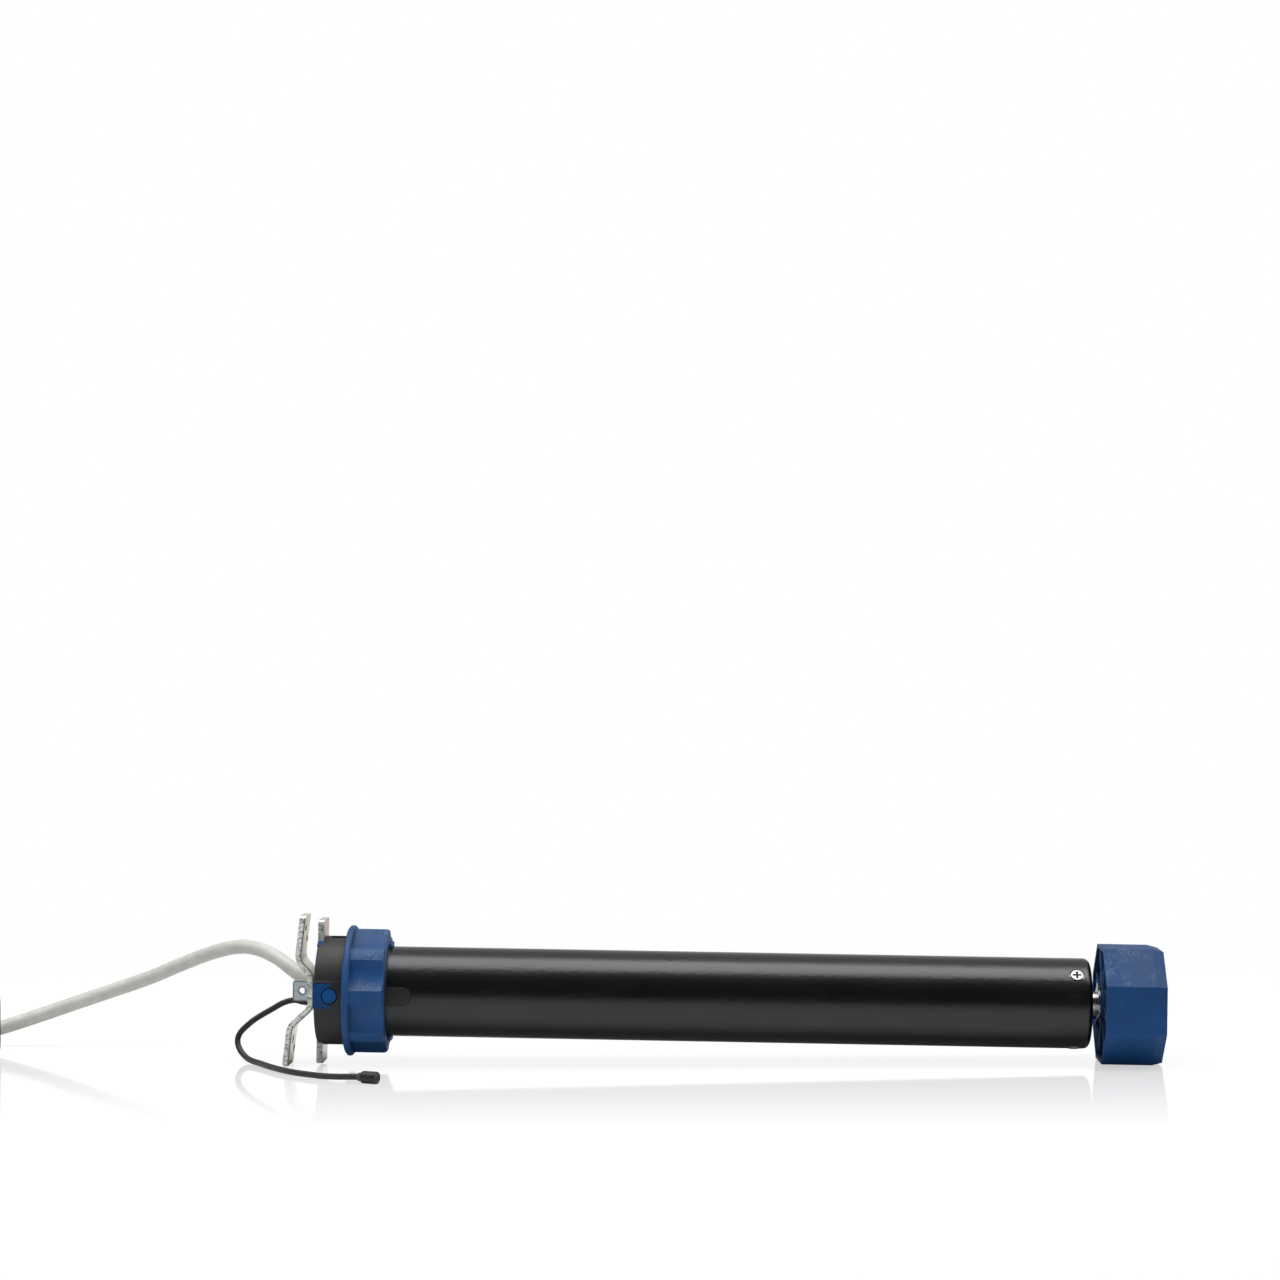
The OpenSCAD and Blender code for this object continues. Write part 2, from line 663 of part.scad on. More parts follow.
module bracket_bar() color(STEEL) difference() {
    along(bar_x0, bar_x1) strip_outline(-bar_half, bar_half);
    rod(bracket_screw_d / 2 + fit, -1, strip_t + 1);
}

module bracket_spacer() color(STEEL) pipe(5.5, bracket_screw_d / 2 + fit, -spacer_len, bar_x0);

module bracket_screw() color(STEEL) difference() {
    union() {
        rod(screw_head_r, -spacer_len - strip_t - screw_head_t, -spacer_len - strip_t);
        rod(bracket_screw_d / 2, -spacer_len - strip_t, strip_t + 15.5);
    }
    rotate([90, 0, 90]) translate([0, 0, -spacer_len - strip_t - screw_head_t - 1])
        linear_extrude(2.4) circle(1.9, $fn = 6);
}

/* Crown */

// Hollow cut between two pads: its middle angle, and the half angle between its edges
module scoop(middle, half) {
    reach = crown_d / 2 + 0.15;
    side = reach * sin(half);
    sag = reach * cos(half) - recess_r;
    r = (side * side + sag * sag) / (2 * sag);
    at_angle(middle) translate([0, -recess_r - r, 0]) rod(r, crown_x1, crown_x2 + 1);
}

module crown_ring() {
    edge_a = asin(pad_w / 2 / (crown_d / 2));
    // Angles of the eight pads: those beside the front and the back pad stand closer to it
    pads = [for (half = [0, 180], a = [0, pad_step, 90, 180 - pad_step]) half + a];
    color(BLUE) {
        turned([
            [crown_x0, crown_bore_r], [crown_x0, flange_d / 2 - 1], [crown_x0 + 0.9, flange_d / 2],
            [crown_x1 - 0.8, flange_d / 2], [crown_x1, flange_d / 2 - 0.8], [crown_x1, crown_bore_r]
        ]);
        difference() {
            turned([
                [crown_x1 - 1, crown_bore_r], [crown_x1 - 1, crown_d / 2], [crown_x2 - 2, crown_d / 2],
                [crown_x2 - 0.7, crown_d / 2 - 0.5], [crown_x2, crown_d / 2 - 1.8], [crown_x2, crown_bore_r]
            ]);
            for (k = [0:len(pads) - 1])
                scoop((pads[k] + (k + 1 < len(pads) ? pads[k + 1] : 360)) / 2,
                    ((k + 1 < len(pads) ? pads[k + 1] : 360) - pads[k]) / 2 - edge_a);
            // Step at the end of every recess
            pipe(crown_d / 2 + 1, recess_r - 0.4, crown_x2 - 0.5, crown_x2 + 1);
        }
        // Snap hooks at the top and the bottom
        for (phi = [90, 270]) intersection() {
            pipe(hook_r, lip_r, crown_x2 - overlap, crown_x2 + lip_t);
            at_angle(phi) front_box(crown_x2 - 1, crown_x2 + lip_t + 1, hook_r + 1, 0, -hook_w / 2, hook_w / 2);
        }
    }
}

/* Cable and aerial entries */

module cable_gland() color(BLACK) translate([0, cable_y, cable_z]) difference() {
    union() {
        rod(gland_r, -gland_flange_t, face_t);
        rod(gland_r + 0.35, -gland_flange_t, 0);
    }
    rod(cable_d / 2, -gland_flange_t - 1, face_t + 1);
}

module cable_clamp() color("#3a3a3c") difference() {
    intersection() {
        pipe(cavity_r - 0.05, boss_r + 0.05, clamp_x0, clamp_x0 + clamp_len);
        translate([clamp_x0 - 1, cable_y - cable_d, cable_z - gland_r - 1])
            cube([clamp_len + 2, 2 * cable_d, 2 * gland_r + 2]);
    }
    translate([0, cable_y, cable_z]) rod(cable_d / 2, clamp_x0 - 1, clamp_x0 + clamp_len + 1);
}

module inner_leads() {
    color("#bdbdb8") translate([0, cable_y, cable_z]) rod(cable_d / 2, -gland_flange_t, face_t + sheath_inner);
    for (c = [[1, 1, "#6b4426"], [1, -1, "#1f4fa0"], [-1, 1, "#202020"], [-1, -1, "#5f9a3a"]])
        color(c[2]) translate([0, cable_y + core_pitch * c[0], cable_z + core_pitch * c[1]])
            rod(core_r, face_t + sheath_inner, board_x0 + lead_reach, 24);
    color(BLACK) translate([0, aerial_y, aerial_z]) rod(aerial_d / 2, -1, board_x0, 24);
}

module aerial_grommet() color(BLACK) translate([0, aerial_y, aerial_z]) difference() {
    rod(grommet_r, -1, face_t);
    rod(aerial_d / 2, -2, face_t + 1);
}

/* Electronics */

module electronics_tray() color("#4a4a4d") intersection() {
    rod(seat_r, tray_x0, tray_x1);
    difference() {
        union() {
            difference() {
                rod(seat_r, tray_x0, tray_x1);
                rod(seat_r - tray_wall, tray_x0 - 1, tray_x1 + 1);
            }
            for (side = [-1, 1])
                translate([tray_x0, side > 0 ? ledge_half : -seat_r, board_z - board_t - 2.2])
                    cube([board_len + 4, seat_r - ledge_half, 2.2]);
        }
        translate([tray_x0 - 1, -seat_r - 1, 2]) cube([tray_x1 - tray_x0 + 2, 2 * seat_r + 2, 2 * seat_r]);
    }
}

module circuit_board() color("#2f6b3c")
    translate([board_x0, -board_half, board_z - board_t]) cube([board_len, 2 * board_half, board_t]);

module board_box(x, len, y0, y1, h) translate([board_x0 + x, y0, board_z]) cube([len, y1 - y0, h]);

module terminal_block() color("#6f8f5a") difference() {
    board_box(2, 12, 8.4, 18.3, 9.3);
    for (y = [-core_pitch, core_pitch], z = [-core_pitch, core_pitch])
        translate([0, cable_y + y, cable_z + z]) rod(core_r + fit, board_x0 + 1, board_x0 + lead_reach, 24);
}

module relays() color("#2c4f86") for (x = [22, 43]) board_box(x, 19, -7.5, 7.5, 15);

// The radio module hangs under the board, where the aerial lead ends
module radio_module() color(STEEL)
    translate([board_x0, aerial_y - 5, board_z - board_t - 7.6]) cube([22, 8, 7.6]);

module run_capacitor() color("#c9c9c4") turned([
    [cap_x0, 0], [cap_x0, cap_r - 1], [cap_x0 + 1, cap_r], [cap_x0 + capacitor_len - 1, cap_r],
    [cap_x0 + capacitor_len, cap_r - 1], [cap_x0 + capacitor_len, 0]
]);

module capacitor_clips() color("#4a4a4d") for (x = clip_wall_x) difference() {
    pipe(seat_r - tray_wall - 0.05, cap_r, cap_x0 + x - 4, cap_x0 + x);
    translate([cap_x0, -seat_r, cap_r * 0.6]) cube([capacitor_len, 2 * seat_r, 2 * seat_r]);
}

/* Motor */

module sensor_board() color("#2f6b3c") difference() {
    rod(sensor_board_r, sensor_x, sensor_x + board_t);
    rod(1.5, sensor_x - 1, sensor_x + 3);
}

module sensor_magnet() color("#5b5b60") pipe(magnet_ring_r, 2.5, rear_x0 - 5, rear_x0 - 1);

// End shield: a plate, a rim that grips the stator and a hub for the bush
module shield_body(x_plate, side) {
    x0 = side > 0 ? x_plate : x_plate - shield_rim;
    x1 = side > 0 ? x_plate + shield_t + shield_rim : x_plate + shield_t;
    difference() {
        union() {
            rod(seat_r, x_plate, x_plate + shield_t);
            pipe(seat_r, seat_r - rim_t, x0, x1);
            hub_x0 = side > 0 ? x_plate : x_plate + shield_t - bush_len - 1;
            rod(shield_hub_r, hub_x0, hub_x0 + bush_len + 1);
        }
        rod(bush_r, x_plate - 20, x_plate + 20);
    }
}

module rear_shield() color("#9fa2a5") {
    shield_body(rear_x0, 1);
    for (y = [-13, 13]) translate([0, y, 0]) rod(1.6, sensor_x + board_t, rear_x0 + 1, 32);
}

module front_shield() color("#9fa2a5") shield_body(brake_x0 - shield_t, -1);

module shaft_bushes() color(BRASS) {
    for (x = [rear_x0 + 0.5, brake_x0 - bush_len - 0.5]) pipe(bush_r, shaft_r_rotor + run, x, x + bush_len);
    pipe(out_bush_r, shaft_r + run, flange_x0 + 0.3, flange_x1 + 0.8);
}

module stator_core() color("#7d8084") difference() {
    pipe(seat_r, stator_bore, stator_x0, stator_x1);
    for (k = [0:slot_count - 1]) at_angle(360 * (k + 0.5) / slot_count) {
        front_box(stator_x0 - 1, stator_x1 + 1, slot_out, slot_in, -slot_w / 2, slot_w / 2);
        front_box(stator_x0 - 1, stator_x1 + 1, slot_in + 1, stator_bore - 1, -0.6, 0.6);
    }
}

module stator_windings() color(COPPER) {
    gap = 0.15;
    end_len = 9.5;
    for (k = [0:slot_count - 1]) at_angle(360 * (k + 0.5) / slot_count)
        front_box(stator_x0 - 1, stator_x1 + 1, slot_out - gap, slot_in + gap, -slot_w / 2 + gap, slot_w / 2 - gap);
    for (x = [stator_x0 - end_len, stator_x1 + 0.3])
        turned([
            [x, slot_in + 1.2], [x, slot_out - 1], [x + 1.5, slot_out + 0.4], [x + end_len - 1.8, slot_out + 0.4],
            [x + end_len - 0.3, slot_out - gap], [x + end_len - 0.3, slot_in + gap], [x + 1.5, slot_in + gap]
        ]);
}

module rotor_core() color("#8d9094") difference() {
    union() {
        rod(rotor_r, stator_x0, stator_x1, 96);
        for (x = [stator_x0 - 3, stator_x1]) pipe(rotor_r - 0.6, shaft_r_rotor + 2, x, x + 3);
    }
    rod(shaft_r_rotor, stator_x0 - 10, stator_x1 + 10);
}

module rotor_shaft() color(STEEL) {
    rod(2.5, rear_x0 - 5, rear_x0 - 0.5);
    rod(shaft_r_rotor, rear_x0 - 0.5, ring_x0);
    rod(pinion_neck_r, ring_x0 - 1, s1_x0 + 1);
    along(s1_x0, s1_x1) sun_outline();
}

/* Brake */

module brake_magnet() color("#77797c") {
    difference() {
        rod(magnet_r, brake_x0, brake_x0 + magnet_len, 96);
        rod(shaft_r_rotor + 1.5, brake_x0 - 1, brake_x0 + magnet_len + 1);
        rod(brake_pocket_r, spring_seat_x, brake_x0 + magnet_len + 1);
        pipe(brake_coil_out + 0.2, brake_coil_in - 0.2, brake_x0 + 2, brake_x0 + magnet_len + 1);
    }
    for (k = [0:2]) at_angle(120 * k) translate([0, -brake_pin_orbit, 0])
        rod(brake_pin_r, brake_x0 + magnet_len - 1, disc_x0 + 1.5, 32);
}

module brake_coil() color(COPPER) pipe(brake_coil_out, brake_coil_in, brake_x0 + 2, brake_x0 + magnet_len - 0.6);

module brake_spring() color(STEEL) coil_spring(spring_seat_x, armature_x0, brake_spring_r, brake_spring_wire, 4);

module brake_armature() color(STEEL) difference() {
    pipe(magnet_r - 0.3, shaft_r_rotor + 2.5, armature_x0, armature_x0 + armature_t);
    for (k = [0:2]) at_angle(120 * k) translate([0, -brake_pin_orbit, 0])
        rod(brake_pin_r + rub, armature_x0 - 1, armature_x0 + armature_t + 1, 32);
}

module brake_disc() color("#4c4b46") pipe(brake_pin_orbit - brake_pin_r - 0.35, shaft_r_rotor, disc_x0, disc_x0 + disc_t);

module brake_housing() color("#9fa2a5") difference() {
    rod(seat_r, brake_x0, ring_x0, 96);
    rod(seat_r - rim_t, brake_x0 - 1, brake_x0 + brake_depth, 96);
    rod(shaft_r_rotor + 1.5, brake_x0, ring_x0 + 1);
}

/* Gearbox */

module ring_gear() color("#e3e0d6") difference() {
    rod(seat_r, ring_x0, flange_x0, 96);
    along(ring_x0 - 1, flange_x0 + 1)
        polygon(gear_outline(ring_teeth, pitch_r(ring_teeth) - addendum, pitch_r(ring_teeth) + dedendum, -gear_play, 180));
}

// A sun gear has a gap towards the front, where the first planet has a tooth
module sun_outline()
    polygon(gear_outline(sun_teeth, pitch_r(sun_teeth) - dedendum, pitch_r(sun_teeth) + addendum, gear_play,
        180 + 180 / sun_teeth));

// Carrier plate with three pins towards the motor
module carrier(plate_x0, plate_x1, pins_x0) {
    rod(carrier_r, plate_x0, plate_x1, 96);
    for (k = [0:2]) at_angle(120 * k) translate([0, -orbit_r, 0]) rod(pin_r, pins_x0, plate_x0 + 1, 32);
}

module first_carrier() color("#c9c4b4") {
    carrier(c1_x0, c1_x0 + carrier_t, s1_x0 + 0.2);
    along(c1_x0 + carrier_t - 1, s2_x1) sun_outline();
}

module output_carrier() color(STEEL) {
    carrier(out_plate_x0, out_plate_x0 + out_plate_t, s2_x0 + 0.2);
    difference() {
        rod(shaft_r, out_plate_x0 + out_plate_t - 1, wheel_x1 - 1);
        pipe(shaft_r + 1, shaft_r - 0.8, clip_x0 - 0.05, clip_x0 + clip_t + 0.05);
        translate([wheel_x0, -shaft_r - 1, shaft_flat]) cube([wheel_len, shaft_d + 2, shaft_r]);
    }
}

// Planet k of three, with a tooth pointing straight out at rest
module planet(x0, x1, k) at_angle(120 * k) translate([0, -orbit_r, 0]) along(x0, x1) difference() {
    polygon(gear_outline(planet_teeth, pitch_r(planet_teeth) - dedendum, pitch_r(planet_teeth) + addendum,
        gear_play, 180));
    circle(pin_r + run, $fn = 48);
}
module first_planet(k) color("#e3e0d6") planet(s1_x0, s1_x1, k);
module output_planet(k) color("#d4b36a") planet(s2_x0, s2_x1, k);

module output_flange() {
    chamfer = roll_r - 0.4;
    color("#8b8e92") difference() {
        turned([
            [flange_x0, 0], [flange_x0, seat_r], [flange_x1 - chamfer, seat_r], [flange_x1, seat_r - chamfer],
            [flange_x1, 0]
        ]);
        rod(out_bush_r, flange_x0 - 1, flange_x1 + 1);
        for (phi = screw_angles) at_angle(phi) {
            front_rod(tube_screw_r + run, seat_r + 1, seat_r - tube_screw_len - 0.5, screw_x);
            front_rod(tube_screw_head_r + fit, seat_r + 1, seat_r - 0.4, screw_x);
        }
    }
}

/* Drive wheel */

module octagon(apothem) rotate(22.5) circle(apothem / cos(22.5), $fn = 8);

module wheel_clip() color(STEEL) difference() {
    union() {
        pipe(8.2, shaft_r - 0.75, clip_x0, clip_x0 + clip_t);
        translate([clip_x0, -2.2, 7]) cube([clip_t, 4.4, 3.2]);
    }
    translate([clip_x0 - 1, -shaft_r + 1.6, -12]) cube([clip_t + 2, shaft_d - 3.2, 12]);
}

module drive_wheel() {
    corner_r = (wheel_ap - wheel_wall) / cos(22.5);
    color(BLUE) difference() {
        union() {
            along(wheel_x0, wheel_x1) difference() {
                octagon(wheel_ap);
                octagon(wheel_ap - wheel_wall);
            }
            along(wheel_x1 - end_wall, wheel_x1) octagon(wheel_ap - 0.5);
            rod(hub_r, wheel_x0 + 0.1, wheel_x1 - end_wall + 0.1);
            // Pairs of ribs that cross on the line to each corner
            intersection() {
                along(wheel_x0 + 1.2, wheel_x1 - 1) octagon(wheel_ap - wheel_wall + 0.3);
                for (k = [0:7], side = [-1, 1])
                    rotate([45 * k + 22.5, 0, 0]) translate([wheel_x0, rib_cross_r, 0]) rotate([side * rib_angle, 0, 0])
                        translate([0, -rib_cross_r / 2, -rib_t / 2]) cube([wheel_len, rib_cross_r + 8, rib_t]);
            }
        }
        along(wheel_x0 - 1, wheel_x1 + 1) difference() {
            circle(shaft_r + run, $fn = 96);
            translate([-shaft_r - 1, shaft_flat + run]) square([shaft_d + 2, shaft_r]);
        }
        // Lead-in taper on every flat
        for (k = [0:7]) rotate([45 * k, 0, 0])
            translate([wheel_x1 - taper_len, -wheel_ap, wheel_ap])
                rotate([0, atan2(taper_drop, taper_len), 0]) cube([2 * taper_len, 2 * wheel_ap, wheel_ap]);
    }
}

/* Cords */

// A point given on the resting surface at the coil, in the frame of the part
function laid(p) = [
    coil_c.x + p.x * cos(rest_tilt) - p.z * sin(rest_tilt),
    coil_c.y + p.y,
    floor_z(coil_c.x) + coil_lift + p.x * sin(rest_tilt) + p.z * cos(rest_tilt)
];

module power_cable_run() {
    last = laid([cable_d, coil_out_r, cable_d / 2]);
    before = laid([2 * cable_d, coil_out_r, cable_d / 2]);
    path = smooth_path(concat(cable_route, [before, last]), 2);
    color("#b9b9b2") swept(path, cable_d / 2, 10, [-1, 0, 0], [-cos(rest_tilt), 0, -sin(rest_tilt)]);
}

// Radius and height of the coil after u turns: in and out again, up a layer at each reversal
function zigzag(u) = let (k = floor(u / coil_loops), v = u - k * coil_loops) k % 2 == 0 ? v : coil_loops - v;
function eased(t) = let (c = max(0, min(1, t))) c * c * (3 - 2 * c);
function coil_level(u, k = 1) = k >= coil_layers ? 0 : eased((u - k * coil_loops + 0.25) * 2) + coil_level(u, k + 1);
function coil_point(u) =
    let (r = coil_out_r - coil_pitch * zigzag(u), a = 90 + 360 * u)
    [r * cos(a), r * sin(a), cable_d / 2 + coil_pitch * coil_level(u)];
coil_line = [for (i = [0:coil_turns * coil_rings]) coil_point(i / coil_rings)];
coil_least = min([
    for (i = [0:len(coil_line) - 1], j = [i + coil_rings / 2:1:len(coil_line) - 1]) norm(coil_line[i] - coil_line[j])
]) - cable_d;

// Lays its children on the resting surface at the coil
module on_floor()
    translate([coil_c.x, coil_c.y, floor_z(coil_c.x) + coil_lift]) rotate([0, -rest_tilt, 0]) children();

module power_cable_coil() {
    ends = coil_line[len(coil_line) - 1];
    path = concat([coil_line[0] + [cable_d, 0, 0]], coil_line, [ends + [-cable_d, 0, 0]]);
    echo(coil_least_gap = coil_least);
    color("#b9b9b2") on_floor() swept(path, cable_d / 2, 6, [-1, 0, 0], [-1, 0, 0]);
}

module cable_end() {
    ends = coil_line[len(coil_line) - 1];
    on_floor() translate([ends.x - cable_d, ends.y, ends.z]) rotate([0, 0, 180]) {
        color("#b9b9b2") rod(cable_d / 2, 0, sheath_len, 32);
        for (y = [-1, 1], z = [-1, 1]) color(COPPER) translate([0, core_pitch * y, core_pitch * z])
            rod(core_r, sheath_len - 1, sheath_len + core_len - (y > 0 ? 0 : 3), 24);
    }
}

module coil_ties() {
    high = coil_pitch * (coil_layers - 1) + cable_d;
    in_x = coil_in_r - cable_d / 2 - 0.4;
    out_x = coil_out_r + cable_d / 2 + 0.4;
    color(BLACK) on_floor() for (a = [20, 200]) rotate(a) difference() {
        translate([in_x - tie_t, -tie_w / 2, -0.4 - tie_t + 0.05])
            cube([out_x - in_x + 2 * tie_t, tie_w, high + 0.8 + 2 * tie_t - 0.05]);
        translate([in_x, -tie_w, -0.4]) cube([out_x - in_x, 2 * tie_w, high + 0.8]);
    }
}

aerial_ahead = unit(aerial_route[len(aerial_route) - 1] - aerial_route[len(aerial_route) - 2]);
aerial_turn = atan2(aerial_ahead.y, aerial_ahead.x);
aerial_rise = atan(tan(rest_tilt) * cos(aerial_turn));

module aerial_wire() color(BLACK)
    swept(aerial_route, aerial_d / 2, 8, [-1, 0, 0],
        [cos(aerial_rise) * cos(aerial_turn), cos(aerial_rise) * sin(aerial_turn), sin(aerial_rise)]);

module aerial_tip() color(BLACK)
    translate(aerial_route[len(aerial_route) - 1]) rotate([0, 0, aerial_turn]) rotate([0, -aerial_rise, 0])
        turned([
            [0, 0], [0, tip_d / 2 - 0.5], [0.5, tip_d / 2], [tip_len - 0.5, tip_d / 2],
            [tip_len, tip_d / 2 - 0.5], [tip_len, 0]
        ], 48);

motor_tube();
tube_screws();
head_housing();
button_cover();
set_button();
button_spring();
switch_body();
switch_plunger();
switch_board();
release_slide();
bar_retainer();
bracket_bar();
wall_bracket();
bracket_spacer();
bracket_screw();
crown_ring();
cable_gland();
cable_clamp();
aerial_grommet();
inner_leads();
electronics_tray();
circuit_board();
terminal_block();
relays();
radio_module();
run_capacitor();
capacitor_clips();
sensor_board();
sensor_magnet();
rear_shield();
front_shield();
shaft_bushes();
stator_core();
stator_windings();
rotor_core();
rotor_shaft();
brake_magnet();
brake_coil();
brake_spring();
brake_armature();
brake_disc();
brake_housing();
ring_gear();
first_carrier();
first_planet(0);  // first_planet_1
first_planet(1);  // first_planet_2
first_planet(2);  // first_planet_3
output_carrier();
output_planet(0);  // output_planet_1
output_planet(1);  // output_planet_2
output_planet(2);  // output_planet_3
output_flange();
wheel_clip();
drive_wheel();
power_cable_run();
power_cable_coil();
coil_ties();
cable_end();
aerial_wire();
aerial_tip();
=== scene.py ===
"""Finishes, cords and stage of a tubular roller blind motor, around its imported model.

Lengths are in metres in the frame of the model: X along the motor axis from the bracket to the
drive wheel, -Y to the camera, Z up. Sizes named MM are in millimetres and are turned to metres once.
"""

import math

import bpy
import numpy as np
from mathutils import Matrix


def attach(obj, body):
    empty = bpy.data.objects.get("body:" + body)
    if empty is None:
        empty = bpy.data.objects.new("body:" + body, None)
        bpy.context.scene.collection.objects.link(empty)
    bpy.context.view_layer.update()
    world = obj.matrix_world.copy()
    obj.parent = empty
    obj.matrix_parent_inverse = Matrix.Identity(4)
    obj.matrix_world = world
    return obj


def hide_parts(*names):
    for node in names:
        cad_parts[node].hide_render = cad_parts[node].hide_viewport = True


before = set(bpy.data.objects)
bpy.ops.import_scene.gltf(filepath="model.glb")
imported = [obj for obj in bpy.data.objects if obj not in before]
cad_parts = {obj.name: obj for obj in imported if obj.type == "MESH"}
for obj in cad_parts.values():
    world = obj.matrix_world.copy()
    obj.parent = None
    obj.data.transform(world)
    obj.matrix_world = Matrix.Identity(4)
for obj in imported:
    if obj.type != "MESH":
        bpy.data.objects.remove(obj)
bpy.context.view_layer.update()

bl_info = {
    "name": "Tubular motor finishes",
    "version": (1, 0, 0),
    "blender": (4, 5, 0),
    "location": "View3D > Sidebar > Tubular motor",
    "description": "Materials, cords and stage of a tubular roller blind motor",
    "category": "Object",
}

MM = 0.001

# The surface the motor lies on rises towards the drive wheel, from the foot of the wall bracket
FOOT_MM = (-14.6893, -37.6568)
REST_TILT = math.radians(1.17589)

# Centreline of the power cable from the gland to the coil
CABLE_ROUTE_MM = [
    (-1.5, 14.7, 3), (-8.9, 14.7, 3), (-14, 15.8, 6.2), (-19.5, 18.5, 9.8), (-26, 24, 13.2),
    (-35, 32, 16), (-45, 40, 16.8), (-55, 46, 15.2), (-68, 52.5, 10.8), (-82, 58, 4.9),
    (-99, 62.5, -2.7), (-120, 66, -10.5), (-138, 67.5, -17), (-156, 67.5, -23.5), (-172, 66, -29),
    (-186, 64, -33.2), (-196, 63, -35.4),
]
# Centreline of the aerial from the grommet to its cap
AERIAL_ROUTE_MM = [
    (-1, 13, -8.5), (-6, 13, -8.4), (-11, 13, -7.9), (-15.5, 13.5, -7.2), (-21, 13.5, -8.7),
    (-26.5, 13.5, -11.9), (-31.4, 13.5, -14.8), (-35.7, 13, -17.6), (-39, 13, -20.4),
    (-41.8, 12.7, -23.2), (-43.4, 12.2, -26), (-43.6, 11.2, -28.8), (-42.6, 9.6, -31.4),
    (-40.3, 6.9, -34), (-37, 2.5, -35.8), (-33, -3.5, -36.35), (-28.5, -10.5, -36.3),
    (-22.7, -20.5, -36.2), (-16, -30.5, -36.1), (-8.5, -39.5, -36), (1, -48, -35.8),
    (9, -54.5, -35.5), (16, -59.8, -34.9), (21.5, -63.4, -34.3), (25, -65.3, -33.95), (28, -66.6, -33.75),
]
# Moulded cap of the aerial: a narrow sleeve, a shoulder and a dished end with a rim, as radius over length
CAP_LENGTH_MM = (0, 0, 1.6, 1.9, 2.3, 3.2, 4.5, 9.7, 10.2, 10.5, 10.5, 10.3, 9.9, 9.9)
CAP_RADIUS_MM = (0.3, 2.0, 2.1, 2.5, 2.85, 3.0, 3.0, 3.0, 2.95, 2.75, 2.35, 2.15, 2.0, 0.2)

# Coil: its start in plan, its height over the resting surface, and its layers of loops
COIL_START_MM = (-210.0, 63.0)
COIL_LIFT_MM = 1.3
COIL_LAYERS = 4
COIL_LOOPS = 2
# Ties: where they stand round the coil, their thickness, width and slack, how much their foot is
# flattened, and the exponent and the points of their loop
TIES_AT_DEG = (20, 200)
TIE_MM = 0.9
TIE_WIDE_MM = 6
TIE_SLACK_MM = 0.4
TIE_FLAT_MM = 0.05
TIE_EXPONENT = 8
TIE_POINTS = 64

# Stripped end: the cut sheath with its chamfer, and the cores, of which two are shorter
CUT_SHEATH_MM = 8
CUT_POINTS = 6
CHAMFER_MM = 0.4
CORE_MM = 22
SHORTER_MM = 3
CORE_INSIDE_MM = 1
CORE_OFF_MM = 1.25
CORE_R_MM = 0.9
COPPER_R_MM = 0.648
CORE_POINTS = 24
CORE_SIDES = 12
COPPER_FROM = 18
# Where each core lies in the sheath, across and up, and its colour
CORES = ((1, 1, "#6b4426"), (1, -1, "#2f5fb0"), (-1, 1, "#2a2a2a"), (-1, -1, "#7da23c"))

# Distance from the motor axis to the flat heads of the tube screws, and the depths under it at which
# the painted shade in the cross recess is full and at which it is gone
SCREW_TOP_MM = 22.6
RECESS_DARK_MM = 0.5
RECESS_CLEAR_MM = 0.1
# Plated strips: the bar starts past the first X, the tab lies before the second and within the height
BAR_X_MM = -1.0
TAB_X_MM = -5.5
TAB_HALF_MM = 5.6

# Camera fitted to the photograph: its focal length in pixels of the picture, its place and its turn
FOCAL_PX = 2970.7
PICTURE_PX = 1280
SENSOR_MM = 36.0
CAMERA_AT = (0.2035, -1.4962, 0.17905)
CAMERA_TURN = (math.pi / 2, -0.0144, 0.0298)

# Lamps: size, place, the point each one is turned to, and watts
LAMPS = {
    "overhead": ((2.2, 0.62), (0.15, -0.04, 0.95), (0.15, 0.0, 0.0), 20.5),
    "front": ((0.9, 0.8), (-0.55, -1.5, 0.9), (0.05, 0.0, 0.0), 6.5),
}

# Floor: its ends, and where along Y the mirror, the shadowed share and the grey of the table come and go
FLOOR_X = (-4.0, 4.4)
FLOOR_Y = (-2.4, 5.0)
MIRROR_COMES = (-0.222, -0.025)
MIRROR_GOES = (0.1, 0.34)
MIRROR_SHARE = 0.324
SHADOW_COMES = (-1.3, -0.6)
SHADOW_GOES = (0.25, 0.8)
SHADOW_SHARE = 0.16
TABLE_COMES = (-0.6, -0.08)
TABLE_GREYS = (0.12, 0.66)


# Colours and sizes that a user would change

def hex_to_linear(code):
    """sRGB hex to linear light: c / 12.92 under 0.04045, otherwise ((c + 0.055) / 1.055) to the power 2.4."""
    c = np.array([int(code[i : i + 2], 16) / 255 for i in (1, 3, 5)])
    return tuple(float(v) for v in np.where(c <= 0.04045, c / 12.92, ((c + 0.055) / 1.055) ** 2.4))


class MotorColours(bpy.types.PropertyGroup):
    powder_coat: bpy.props.FloatVectorProperty(
        name="Powder coat", description="Colour of the coated tube", subtype="COLOR", size=3,
        min=0, max=1, default=hex_to_linear("#070808"),
    )
    black_abs: bpy.props.FloatVectorProperty(
        name="Black plastic", description="Colour of the head and its cover", subtype="COLOR", size=3,
        min=0, max=1, default=hex_to_linear("#141414"),
    )
    blue_nylon: bpy.props.FloatVectorProperty(
        name="Blue plastic", description="Colour of the crown, the wheel and the button",
        subtype="COLOR", size=3, min=0, max=1, default=hex_to_linear("#003c70"),
    )
    zinc: bpy.props.FloatVectorProperty(
        name="Zinc plate", description="Colour of the plated bracket", subtype="COLOR", size=3,
        min=0, max=1, default=hex_to_linear("#cfd1c6"),
    )
    cable_grey: bpy.props.FloatVectorProperty(
        name="Cable sheath", description="Colour of the power cable", subtype="COLOR", size=3,
        min=0, max=1, default=hex_to_linear("#b8b8b2"),
    )


